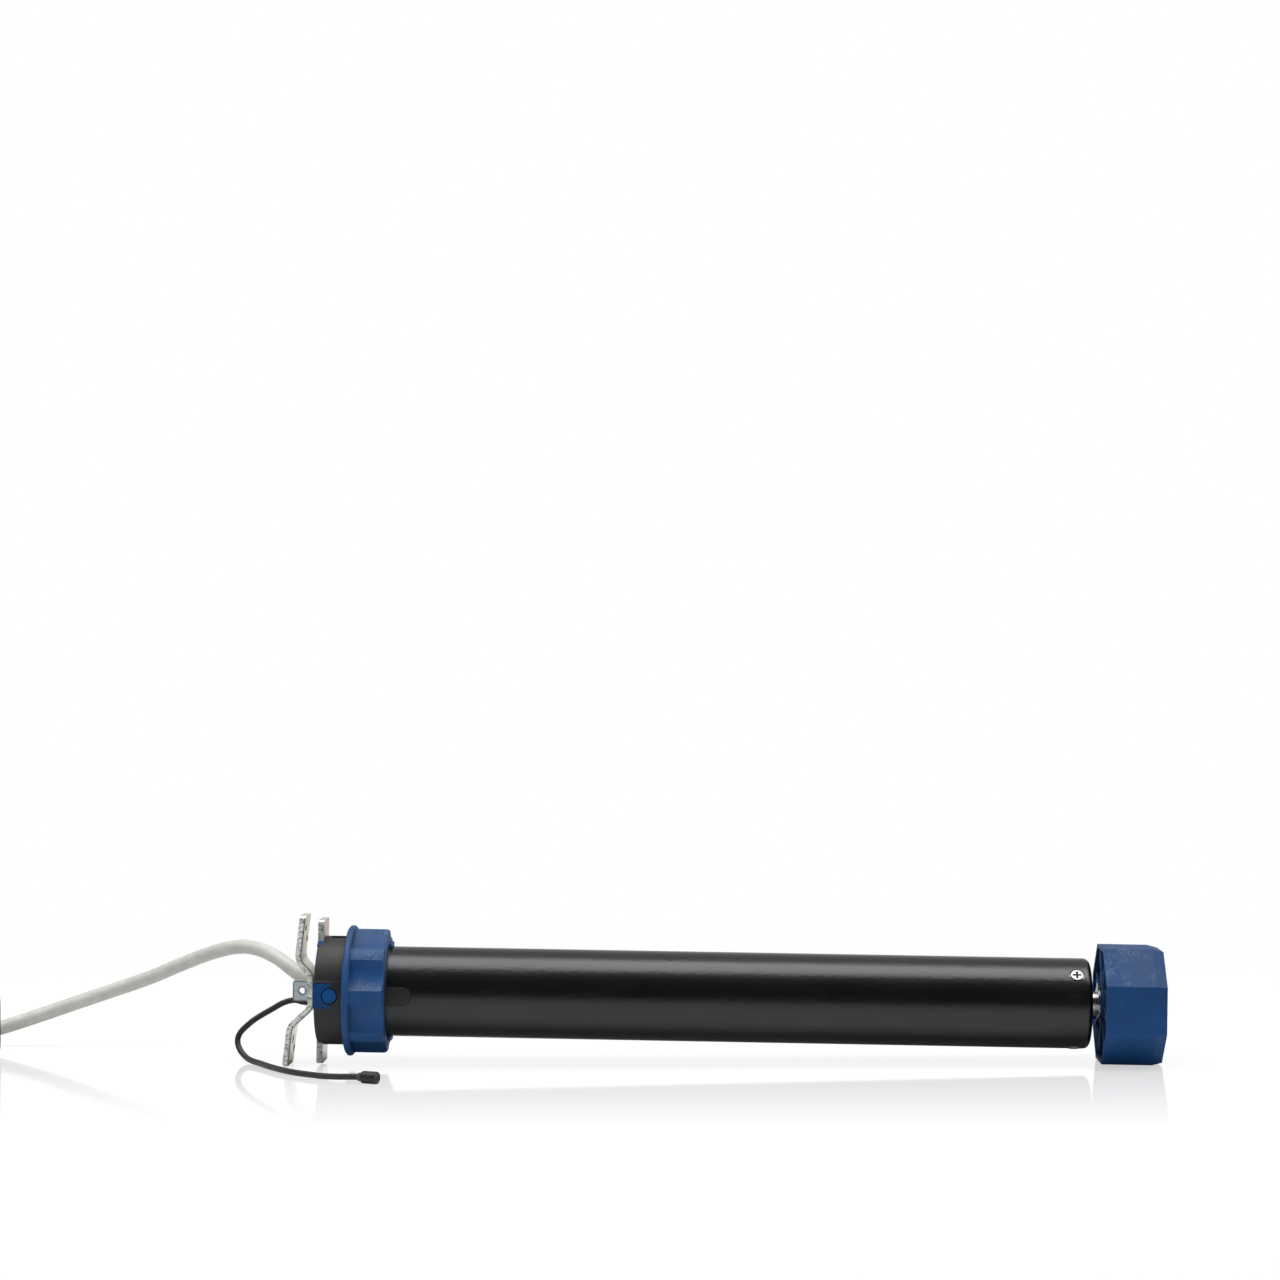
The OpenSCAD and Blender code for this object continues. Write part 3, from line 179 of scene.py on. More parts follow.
class CordSizes(bpy.types.PropertyGroup):
    cable_d: bpy.props.FloatProperty(
        name="Cable diameter", description="Diameter of the power cable", default=0.0074,
        min=0.007, max=0.0075, unit="LENGTH",
    )
    aerial_d: bpy.props.FloatProperty(
        name="Aerial diameter", description="Diameter of the aerial", default=0.003,
        min=0.002, max=0.0032, unit="LENGTH",
    )
    coil_mid_r: bpy.props.FloatProperty(
        name="Coil radius", description="Radius of the cable coil at the middle of its turns", default=0.036,
        min=0.034, max=0.038, unit="LENGTH",
    )
    coil_gap: bpy.props.FloatProperty(
        name="Coil gap", description="Clear gap between neighbouring turns", default=0.0005,
        min=0.00045, max=0.0007, unit="LENGTH",
    )


# Shapes, as whole arrays

def floor_height(x):
    """Height of the resting surface at x: foot height + (x - foot x) * tan(tilt)."""
    return FOOT_MM[1] * MM + (x - FOOT_MM[0] * MM) * math.tan(REST_TILT)


def smooth_path(points, steps):
    """Catmull-Rom curve through the points: 0.5 * (2b + (c-a)t + (2a-5b+4c-d)t^2 + (3b-a-3c+d)t^3)."""
    p = np.asarray(points, float)
    ends = np.vstack([p[:1], p, p[-1:], p[-1:]])
    a, b, c, d = (ends[i : i + len(p) - 1, None, :] for i in range(4))
    t = (np.arange(steps) / steps)[None, :, None]
    curve = 0.5 * (2 * b + (c - a) * t + (2 * a - 5 * b + 4 * c - d) * t**2 + (3 * b - a - 3 * c + d) * t**3)
    return np.vstack([curve.reshape(-1, 3), p[-1:]])


def running_length(path):
    """Length along a path up to each of its points."""
    return np.r_[0, np.cumsum(np.linalg.norm(np.diff(path, axis=0), axis=1))]


def rings_round(centres, ways, radii, sides):
    """Circles square to their ways: centre + r * (flat * sin(s) - up * cos(s)), with flat = way x Z and
    up = flat x way."""
    t = ways / np.linalg.norm(ways, axis=1, keepdims=True)
    flat = np.cross(t, (0, 0, 1.0))
    flat /= np.linalg.norm(flat, axis=1, keepdims=True)
    up = np.cross(flat, t)
    s = 2 * math.pi * np.arange(sides) / sides
    r = np.broadcast_to(np.asarray(radii, float), (len(t),))[:, None, None]
    spokes = flat[:, None, :] * np.sin(s)[None, :, None] - up[:, None, :] * np.cos(s)[None, :, None]
    return centres[:, None, :] + r * spokes


def rings_along(path, radii, sides, first=None, last=None):
    """Circles carried along a path, square to its run or, at an end, to the way given for it."""
    p = np.asarray(path, float)
    ways = np.gradient(p, axis=0)
    if first is not None:
        ways[0] = first
    if last is not None:
        ways[-1] = last
    return rings_round(p, ways, radii, sides)


def grid_faces(rows, columns):
    """Quads between neighbouring rings: (i, s), (i, s+1), (i+1, s+1), (i+1, s), closed round the ring."""
    i = np.arange(rows - 1)[:, None]
    s = np.arange(columns)[None, :]
    here, there = i * columns, (i + 1) * columns
    n = (s + 1) % columns
    return np.stack([here + s, here + n, there + n, there + s], -1).reshape(-1, 4)


def tube_faces(rows, columns, start=0):
    """Faces of a closed tube whose points begin at start: its quads, then a cap at each end."""
    first = list(range(start, start + columns))
    last = [v + (rows - 1) * columns for v in first]
    return [*(grid_faces(rows, columns) + start).tolist(), first[::-1], last]


def tube_mesh(name, rings, along=None):
    """A closed tube from rings (rows, columns, 3), with U round the ring and V the length along it."""
    rows, columns = rings.shape[:2]
    mesh = bpy.data.meshes.new(name)
    mesh.from_pydata(rings.reshape(-1, 3).tolist(), [], tube_faces(rows, columns))
    if along is not None:
        u = np.arange(columns + 1) / columns
        i = np.repeat(np.arange(rows - 1), columns)
        s = np.tile(np.arange(columns), rows - 1)
        corners = [(u[s], along[i]), (u[s + 1], along[i]), (u[s + 1], along[i + 1]), (u[s], along[i + 1])]
        quads = np.stack([np.stack(corner, -1) for corner in corners], 1).reshape(-1, 2)
        both = np.vstack([quads, np.zeros((2 * columns, 2))])
        mesh.uv_layers.new(name="UVMap").data.foreach_set("uv", both.astype(np.float32).ravel())
    round_side = np.ones(len(mesh.polygons), bool)
    round_side[-2:] = False
    mesh.polygons.foreach_set("use_smooth", round_side)
    mesh.update()
    return mesh


def joined(name, tubes):
    """Several closed tubes as one mesh."""
    faces, start = [], 0
    for rings in tubes:
        rows, columns = rings.shape[:2]
        faces += tube_faces(rows, columns, start)
        start += rows * columns
    mesh = bpy.data.meshes.new(name)
    mesh.from_pydata(np.vstack([rings.reshape(-1, 3) for rings in tubes]).tolist(), [], faces)
    mesh.polygons.foreach_set("use_smooth", np.ones(len(mesh.polygons), bool))
    mesh.update()
    return mesh


def place(name, mesh, *materials):
    """Links a mesh as an object at the origin with its materials."""
    for material in materials:
        mesh.materials.append(material)
    obj = bpy.data.objects.new(name, mesh)
    bpy.context.scene.collection.objects.link(obj)
    return obj


# Materials. Spark texture, machining marks and the surface of PVC are finer than a pixel of the picture, so
# they are drawn as coarse as they need to show.

# Settings of a node that eases a value from one level to another
SMOOTH = {"interpolation_type": "SMOOTHSTEP"}


def add(tree, kind, inputs=None, stops=(), **settings):
    """Adds one node and gives its outputs: inputs are its sockets by name or number, as links, colours or
    numbers, stops the places and the colours or greys of a colour ramp, and settings its own options."""
    node = tree.nodes.new("ShaderNode" + kind)
    for key, value in settings.items():
        setattr(node, key, value)
    for key, value in (inputs or {}).items():
        socket = node.inputs[key]
        if isinstance(value, bpy.types.NodeSocket):
            tree.links.new(value, socket)
        elif isinstance(value, tuple) and len(value) == 3 and socket.type == "RGBA":
            socket.default_value = (*value, 1)
        else:
            socket.default_value = value
    if stops:
        elements = node.color_ramp.elements
        while len(elements) < len(stops):
            elements.new(0.5)
        for element, (position, colour) in zip(elements, stops):
            element.position = position
            c = colour if isinstance(colour, tuple) else (colour, colour, colour)
            element.color = (*c, 1)
    return node.outputs


def new_material(name):
    """A material and its empty tree, or an earlier one of that name and no tree."""
    material = bpy.data.materials.get(name)
    if material:
        return material, None
    material = bpy.data.materials.new(name)
    material.use_nodes = True
    material.node_tree.nodes.clear()
    return material, material.node_tree


def surface(tree, inputs):
    """Ends the tree of a material: a principled shader with its inputs, and the output."""
    add(tree, "OutputMaterial", {"Surface": add(tree, "BsdfPrincipled", inputs)[0]})


def grains(size_mm):
    """Scale of a pattern whose grains are size_mm across: 1000 / size, in grains per metre."""
    return 1000 / size_mm


def shade(colour, k):
    """A colour k times as bright, held within 0 and 1."""
    return tuple(min(1.0, max(0.0, c * k)) for c in colour)


def edge_share(tree, normal):
    """How near an edge the surface is: one minus the cosine between its rounded and its own normal."""
    own = add(tree, "NewGeometry")["True Normal"]
    cosine = add(tree, "VectorMath", {0: normal, 1: own}, operation="DOT_PRODUCT")["Value"]
    return add(tree, "Math", {0: 1.0, 1: cosine}, operation="SUBTRACT")[0]


def dust(tree, where, spacing_mm, radius_mm, strength):
    """Specks of dust: 1 near scattered points, times a random share for each point and the strength."""
    cells = add(tree, "TexVoronoi", {"Vector": where, "Scale": grains(spacing_mm)})
    radius = radius_mm / spacing_mm
    fall = {"From Min": 0.6 * radius, "From Max": radius, "To Min": 1.0, "To Max": 0.0}
    speck = add(tree, "MapRange", {"Value": cells["Distance"], **fall}, **SMOOTH)[0]
    share = add(tree, "SeparateColor", {0: cells["Color"]})["Red"]
    chosen = add(tree, "MapRange", {"Value": share, "From Min": 0.5}, **SMOOTH)[0]
    weak = add(tree, "Math", {0: chosen, 1: strength}, operation="MULTIPLY")[0]
    return add(tree, "Math", {0: speck, 1: weak}, operation="MULTIPLY")[0]


def powder_coat():
    """Black polyester powder coat, sprayed and baked: satin, with a fine orange peel that breaks up the
    highlight, a few specks of dust and faint rub marks along the tube."""
    material, tree = new_material("black powder coat")
    if tree:
        base = tuple(bpy.context.scene.motor_colours.powder_coat)
        where = add(tree, "TexCoord")["Object"]
        cloud = add(tree, "TexNoise", {"Vector": where, "Scale": grains(34), "Detail": 0.0})[0]
        body = add(tree, "ValToRGB", {0: cloud}, ((0.0, shade(base, 0.8)), (1.0, shade(base, 1.2))))[0]
        drawn = add(tree, "VectorMath", {0: where, 1: (0.3, 1.0, 1.0)}, operation="MULTIPLY")[0]
        marks = {"Vector": drawn, "Scale": grains(8), "Detail": 6.0, "Roughness": 0.65}
        rub = add(tree, "TexNoise", marks)[0]
        rub = add(tree, "MapRange", {"Value": rub, "From Min": 0.54, "From Max": 0.74}, **SMOOTH)[0]
        rubbed = add(tree, "Math", {0: rub, 1: 0.022}, operation="MULTIPLY")[0]
        specks = dust(tree, where, 5.0, 0.26, 0.4)
        pale = add(tree, "Math", {0: rubbed, 1: specks}, operation="MAXIMUM")[0]
        grey = hex_to_linear("#8e9496")
        drawn = add(tree, "VectorMath", {0: where, 1: (0.6, 1.0, 1.0)}, operation="MULTIPLY")[0]
        peel = add(tree, "TexNoise", {"Vector": drawn, "Scale": grains(2.4), "Detail": 1.0})[0]
        soft = add(tree, "Bevel", {"Radius": 0.25 * MM}, samples=6)[0]
        bumps = {"Height": peel, "Strength": 0.32, "Distance": 0.2 * MM, "Normal": soft}
        surface(tree, {
            "Base Color": add(tree, "Mix", {0: pale, 6: body, 7: grey}, data_type="RGBA")[2],
            "Roughness": add(tree, "ValToRGB", {0: cloud}, ((0.1, 0.27), (0.9, 0.31)))[0],
            "Normal": add(tree, "Bump", bumps)[0], "IOR": 1.52, "Specular Tint": (0.94, 0.97, 1.0),
        })
    return material


def moulded(name, base, texture_mm, rough, depth=0.1, round_mm=0.3, pale=0.0, index=1.5):
    """Moulded plastic: a spark-eroded grain from the mould, a little cloudiness, softened edges, and a
    painted highlight along the edges, as strong as pale.
    """
    material, tree = new_material(name)
    if tree:
        where = add(tree, "TexCoord")["Object"]
        texture = {"Vector": where, "Scale": grains(texture_mm), "Detail": 3.0, "Roughness": 0.6}
        grain = add(tree, "TexNoise", texture)[0]
        cloud = add(tree, "TexNoise", {"Vector": where, "Scale": grains(14), "Detail": 3.0})[0]
        tints = ((0.3, shade(base, 0.88)), (0.7, shade(base, 1.12)))
        clouded = add(tree, "ValToRGB", {0: cloud}, tints)[0]
        pits = ((0.35, 1 - 3 * depth), (0.5, 1.0), (0.66, 1 + 4 * depth))
        spark = add(tree, "ValToRGB", {0: grain}, pits)[0]
        both = {0: 1.0, 6: clouded, 7: spark}
        colour = add(tree, "Mix", both, data_type="RGBA", blend_type="MULTIPLY")[2]
        soft = add(tree, "Bevel", {"Radius": round_mm * MM}, samples=6)[0]
        # Painted highlight: grey mixed in along the edges, as much as pale
        near = {"Value": edge_share(tree, soft), "From Min": 0.005, "From Max": 0.12}
        near = add(tree, "MapRange", near, **SMOOTH)[0]
        edge = add(tree, "Math", {0: near, 1: pale}, operation="MULTIPLY")[0]
        bumps = {"Height": grain, "Strength": depth, "Distance": 0.3 * MM, "Normal": soft}
        surface(tree, {
            "Base Color": add(tree, "Mix", {0: edge, 6: colour, 7: (0.5, 0.5, 0.5)}, data_type="RGBA")[2],
            "Roughness": add(tree, "ValToRGB", {0: cloud}, ((0.3, rough - 0.05), (0.7, rough + 0.05)))[0],
            "Normal": add(tree, "Bump", bumps)[0], "IOR": index,
        })
    return material


def black_abs():
    """Black ABS, moulded with a fine spark texture: matte, with a painted highlight a shade lighter along its
    edges.
    """
    base = tuple(bpy.context.scene.motor_colours.black_abs)
    # pale sets the painted highlight along the edges
    return moulded("black ABS", base, 0.8, 0.56, depth=0.16, round_mm=0.4, pale=0.09)


def worn_marks(tree, where, upward, marks):
    """Scratches that tubes leave on nylon: thin lines of a stretched noise, times patches and the share that
    faces up, times their strength."""
    drawn = add(tree, "VectorMath", {0: where, 1: (1.0, 1.0, 0.45)}, operation="MULTIPLY")[0]
    lines = {"Vector": drawn, "Scale": grains(3.4), "Detail": 5.0, "Roughness": 0.75, "Distortion": 0.3}
    line = add(tree, "TexNoise", lines)[0]
    scratch = add(tree, "ValToRGB", {0: line}, ((0.483, 0.0), (0.5, 1.0), (0.517, 0.0)))[0]
    patch = add(tree, "TexNoise", {"Vector": where, "Scale": grains(9), "Detail": 3.0})[0]
    patch = add(tree, "MapRange", {"Value": patch, "From Min": 0.48, "From Max": 0.66}, **SMOOTH)[0]
    top = {"Value": upward, "From Min": 0.1, "From Max": 0.6, "To Min": 0.12}
    top = add(tree, "MapRange", top, **SMOOTH)[0]
    rubbed = add(tree, "Math", {0: patch, 1: top}, operation="MULTIPLY")[0]
    worn = add(tree, "Math", {0: scratch, 1: rubbed}, operation="MULTIPLY")[0]
    return add(tree, "Math", {0: worn, 1: marks}, operation="MULTIPLY")[0]


def blue_nylon(name="blue nylon", index=1.46, marks=0.34, tone=1.08):
    """Blue glass-filled nylon, moulded: semi-matte, with painted shade on its upward faces, a painted
    highlight along its edges, and paler where tubes have scratched it."""
    material, tree = new_material(name)
    if tree:
        base = shade(bpy.context.scene.motor_colours.blue_nylon, tone)
        coord = add(tree, "TexCoord")
        where = coord["Object"]
        upward = add(tree, "SeparateXYZ", {0: coord["Normal"]})["Z"]
        cloud = add(tree, "TexNoise", {"Vector": where, "Scale": grains(16), "Detail": 4.0})[0]
        fibres = {"Vector": where, "Scale": grains(1.2), "Detail": 3.0, "Roughness": 0.6}
        flow = add(tree, "TexNoise", fibres)[0]
        body = add(tree, "ValToRGB", {0: cloud}, ((0.3, shade(base, 0.9)), (0.7, shade(base, 1.1))))[0]
        # Painted shade: faces that look up are mixed towards a near-black blue
        top = {"Value": upward, "From Min": 0.25, "From Max": 0.85, "To Max": 0.28}
        top = add(tree, "MapRange", top, **SMOOTH)[0]
        body = add(tree, "Mix", {0: top, 6: body, 7: hex_to_linear("#0a1016")}, data_type="RGBA")[2]
        soft = add(tree, "Bevel", {"Radius": 0.4 * MM}, samples=6)[0]
        # Painted highlight along the edges, shown in the pale blue below
        near = {"Value": edge_share(tree, soft), "From Min": 0.01, "From Max": 0.2}
        near = add(tree, "MapRange", near, **SMOOTH)[0]
        edge = add(tree, "Math", {0: near, 1: 0.14}, operation="MULTIPLY")[0]
        worn = worn_marks(tree, where, upward, marks)
        # The pale blue is both wear, where tubes have scratched, and the painted edge highlight
        pale = add(tree, "Math", {0: worn, 1: edge}, operation="MAXIMUM")[0]
        light = hex_to_linear("#a3b4cc")
        bumps = {"Height": flow, "Strength": 0.07, "Distance": 0.3 * MM, "Normal": soft}
        surface(tree, {
            "Base Color": add(tree, "Mix", {0: pale, 6: body, 7: light}, data_type="RGBA")[2],
            "Roughness": add(tree, "ValToRGB", {0: cloud}, ((0.3, 0.56), (0.7, 0.66)))[0],
            "Normal": add(tree, "Bump", bumps)[0], "IOR": index,
        })
    return material


def plated_face(tree, where, bar, tab_front, wide):
    """Smooth plated faces: bloom in four tints, pinker on the bar, and cooler on the front of the tab, which
    has painted shade, dark and patchy, along its edges."""
    base = tuple(bpy.context.scene.motor_colours.zinc)
    green, straw, pink = (hex_to_linear(code) for code in ("#bccbbd", "#d9d6b0", "#cfc4c4"))
    rosy, cool, dark = (hex_to_linear(code) for code in ("#dab9bd", "#b3bfc6", "#39444a"))
    clouds = {"Vector": where, "Scale": grains(14), "Detail": 2.0, "Distortion": 0.8}
    bloom = add(tree, "TexNoise", clouds)[0]
    face = add(tree, "ValToRGB", {0: bloom}, ((0.3, green), (0.45, base), (0.58, straw), (0.72, pink)))[0]
    half = add(tree, "Math", {0: bar, 1: 0.5}, operation="MULTIPLY")[0]
    face = add(tree, "Mix", {0: half, 6: face, 7: rosy}, data_type="RGBA")[2]
    face = add(tree, "Mix", {0: tab_front, 6: face, 7: cool}, data_type="RGBA")[2]
    drawn = add(tree, "VectorMath", {0: where, 1: (1.0, 1.0, 0.5)}, operation="MULTIPLY")[0]
    patchy_shade = add(tree, "TexNoise", {"Vector": drawn, "Scale": grains(2.2), "Detail": 3.0})[0]
    patchy_shade = {"Value": patchy_shade, "From Min": 0.3, "From Max": 0.5, "To Min": 0.4}
    patchy_shade = add(tree, "MapRange", patchy_shade, **SMOOTH)[0]
    # Painted shade: the front of the tab darkened along its edges, in patches
    edge = add(tree, "MapRange", {"Value": edge_share(tree, wide), "From Max": 0.02}, **SMOOTH)[0]
    rim = add(tree, "Math", {0: edge, 1: patchy_shade}, operation="MULTIPLY")[0]
    rim = add(tree, "Math", {0: tab_front, 1: rim}, operation="MULTIPLY")[0]
    return add(tree, "Mix", {0: rim, 6: face, 7: dark}, data_type="RGBA")[2]


def torn_edge(tree, speck, bar):
    """Cut edges of the strip: frosty grey, and darker on the bar."""
    dark, grey, bright = (hex_to_linear(code) for code in ("#6a706e", "#c6cec9", "#f4f6f0"))
    frost = add(tree, "ValToRGB", {0: speck}, ((0.38, dark), (0.47, grey), (0.58, bright)))[0]
    most = add(tree, "Math", {0: bar, 1: 0.8}, operation="MULTIPLY")[0]
    both = {0: most, 6: frost, 7: (0.4, 0.41, 0.4)}
    return add(tree, "Mix", both, data_type="RGBA", blend_type="MULTIPLY")[2]


def zinc_plate():
    """Blue-passivated zinc on punched steel strip. Faces: bright, with yellow, green and pink bloom.
    Cut edges: frosty, with marks across the strip and a dark painted shadow line along them on the side of
    the motor. The tab shows a smooth rolled face to the front, and the bar's cut edges are darker than the
    bracket's."""
    material, tree = new_material("zinc plate")
    if tree:
        coord = add(tree, "TexCoord")
        where = coord["Object"]
        at = add(tree, "SeparateXYZ", {0: where})
        wide = add(tree, "Bevel", {"Radius": 1.5 * MM}, samples=6)[0]
        bar = add(tree, "Math", {0: at["X"], 1: BAR_X_MM * MM}, operation="GREATER_THAN")[0]
        sideways = add(tree, "SeparateXYZ", {0: coord["Normal"]})["Y"]
        sideways = add(tree, "Math", {0: sideways}, operation="ABSOLUTE")[0]
        cut = add(tree, "MapRange", {"Value": sideways, "From Min": 0.8, "From Max": 0.9}, **SMOOTH)[0]
        before = add(tree, "Math", {0: at["X"], 1: TAB_X_MM * MM}, operation="LESS_THAN")[0]
        height = add(tree, "Math", {0: at["Z"]}, operation="ABSOLUTE")[0]
        within = add(tree, "Math", {0: height, 1: TAB_HALF_MM * MM}, operation="LESS_THAN")[0]
        tab = add(tree, "Math", {0: before, 1: within}, operation="MULTIPLY")[0]
        others = add(tree, "Math", {0: 1.0, 1: tab}, operation="SUBTRACT")[0]
        torn = add(tree, "Math", {0: cut, 1: others}, operation="MULTIPLY")[0]
        tab_front = add(tree, "Math", {0: tab, 1: cut}, operation="MULTIPLY")[0]
        face = plated_face(tree, where, bar, tab_front, wide)
        drawn = add(tree, "VectorMath", {0: where, 1: (0.45, 1.0, 1.0)}, operation="MULTIPLY")[0]
        specks = {"Vector": drawn, "Scale": grains(1.0), "Detail": 4.0, "Roughness": 0.75}
        speck = add(tree, "TexNoise", specks)[0]
        frost = torn_edge(tree, speck, bar)
        colour = add(tree, "Mix", {0: torn, 6: face, 7: frost}, data_type="RGBA")[2]
        # Painted shadow line: cut edges of the bracket darkened along their edge on the side of the motor
        lean = add(tree, "SeparateXYZ", {0: wide})["X"]
        lean = add(tree, "MapRange", {"Value": lean, "From Min": 0.08, "From Max": 0.16}, **SMOOTH)[0]
        painted_shadow_line = add(tree, "Math", {0: torn, 1: bar}, operation="SUBTRACT")[0]
        painted_shadow_line = add(tree, "Math", {0: painted_shadow_line, 1: lean}, operation="MULTIPLY")[0]
        lines = {"Vector": where, "Scale": grains(0.9), "Detail": 4.0, "Roughness": 0.7}
        brushed = add(tree, "TexNoise", lines)[0]
        gloss = add(tree, "ValToRGB", {0: brushed}, ((0.3, 0.24), (0.7, 0.4)))[0]
        height = add(tree, "Mix", {0: torn, 6: brushed, 7: speck}, data_type="RGBA")[2]
        soft = add(tree, "Bevel", {"Radius": 0.45 * MM}, samples=6)[0]
        bumps = {"Height": height, "Strength": 0.22, "Distance": 0.4 * MM, "Normal": soft}
        dull = add(tree, "Math", {0: cut, 1: 0.75}, operation="MULTIPLY")[0]
        # Colour of the painted shadow line
        dark = hex_to_linear("#343837")
        surface(tree, {
            "Base Color": add(tree, "Mix", {0: painted_shadow_line, 6: colour, 7: dark}, data_type="RGBA")[2],
            "Metallic": add(tree, "Math", {0: 1.0, 1: dull}, operation="SUBTRACT")[0],
            "Roughness": add(tree, "Mix", {0: torn, 6: gloss, 7: (0.5, 0.5, 0.5)}, data_type="RGBA")[2],
            "Normal": add(tree, "Bump", bumps)[0],
        })
    return material


def cross_screw():
    """Zinc-plated steel screw with a cross recess and painted shade inside it, dark and not metallic: where
    the distance from the motor axis is less than that of the head."""
    material, tree = new_material("screw steel")
    if tree:
        where = add(tree, "TexCoord")["Object"]
        across = add(tree, "VectorMath", {0: where, 1: (0.0, 1.0, 1.0)}, operation="MULTIPLY")[0]
        radius = add(tree, "VectorMath", {0: across}, operation="LENGTH")["Value"]
        # Painted shade in the cross recess: dark and not metallic below the head
        dark, clear = (SCREW_TOP_MM - RECESS_DARK_MM) * MM, (SCREW_TOP_MM - RECESS_CLEAR_MM) * MM
        shown = add(tree, "MapRange", {"Value": radius, "From Min": dark, "From Max": clear}, **SMOOTH)[0]
        both = {0: shown, 6: hex_to_linear("#1d1614"), 7: hex_to_linear("#b9bab8")}
        grain = add(tree, "TexNoise", {"Vector": where, "Scale": grains(0.5), "Detail": 3.0})[0]
        surface(tree, {
            "Base Color": add(tree, "Mix", both, data_type="RGBA")[2],
            "Metallic": add(tree, "Math", {0: shown, 1: 0.9}, operation="MULTIPLY")[0],
            "Roughness": add(tree, "ValToRGB", {0: grain}, ((0.3, 0.52), (0.7, 0.62)))[0],
            "Normal": add(tree, "Bevel", {"Radius": 0.12 * MM}, samples=6)[0],
        })
    return material


def metal(name, base, rough, grain_mm, depth=0.08):
    """Bare metal: machining or casting grain, a little colour change, softened edges."""
    material, tree = new_material(name)
    if tree:
        where = add(tree, "TexCoord")["Object"]
        lines = {"Vector": where, "Scale": grains(grain_mm), "Detail": 4.0, "Roughness": 0.6}
        grain = add(tree, "TexNoise", lines)[0]
        cloud = add(tree, "TexNoise", {"Vector": where, "Scale": grains(9), "Detail": 2.0})[0]
        tints = ((0.3, shade(base, 0.88)), (0.7, shade(base, 1.1)))
        soft = add(tree, "Bevel", {"Radius": 0.2 * MM}, samples=6)[0]
        bumps = {"Height": grain, "Strength": depth, "Distance": 0.2 * MM, "Normal": soft}
        surface(tree, {
            "Base Color": add(tree, "ValToRGB", {0: cloud}, tints)[0], "Metallic": 1.0,
            "Roughness": add(tree, "ValToRGB", {0: grain}, ((0.3, rough - 0.08), (0.7, rough + 0.08)))[0],
            "Normal": add(tree, "Bump", bumps)[0],
        })
    return material


def sheath(name, base, rough, smudge=0.0):
    """PVC sheath: satin, slightly uneven from the lay of its cores, with faint rub marks and smudges."""
    material, tree = new_material(name)
    if tree:
        where = add(tree, "TexCoord")["Object"]
        lay = add(tree, "TexNoise", {"Vector": where, "Scale": grains(7), "Detail": 2.0})[0]
        fine = add(tree, "TexNoise", {"Vector": where, "Scale": grains(0.8), "Detail": 3.0})[0]
        tints = ((0.3, shade(base, 0.93)), (0.7, shade(base, 1.05)))
        colour = add(tree, "ValToRGB", {0: lay}, tints)[0]
        spots = add(tree, "TexNoise", {"Vector": where, "Scale": grains(4.5), "Detail": 3.0})[0]
        dirt = add(tree, "ValToRGB", {0: spots}, ((0.46, 1.0), (0.66, 1.0 - smudge)))[0]
        both = {0: 1.0, 6: colour, 7: dirt}
        surface(tree, {
            "Base Color": add(tree, "Mix", both, data_type="RGBA", blend_type="MULTIPLY")[2],
            "Roughness": add(tree, "ValToRGB", {0: fine}, ((0.3, rough - 0.05), (0.7, rough + 0.06)))[0],
            "Normal": add(tree, "Bump", {"Height": fine, "Strength": 0.05, "Distance": 0.3 * MM})[0],
            "IOR": 1.5,
        })
    return material


def cable_pvc():
    """Light grey PVC cable sheath, extruded: satin and slightly warm."""
    return sheath("grey PVC", tuple(bpy.context.scene.motor_colours.cable_grey), 0.42, smudge=0.05)


def aerial_pvc():
    """Black PVC sheath of the aerial, extruded: nearly matte."""
    return sheath("black PVC", hex_to_linear("#1d1d1e"), 0.5)


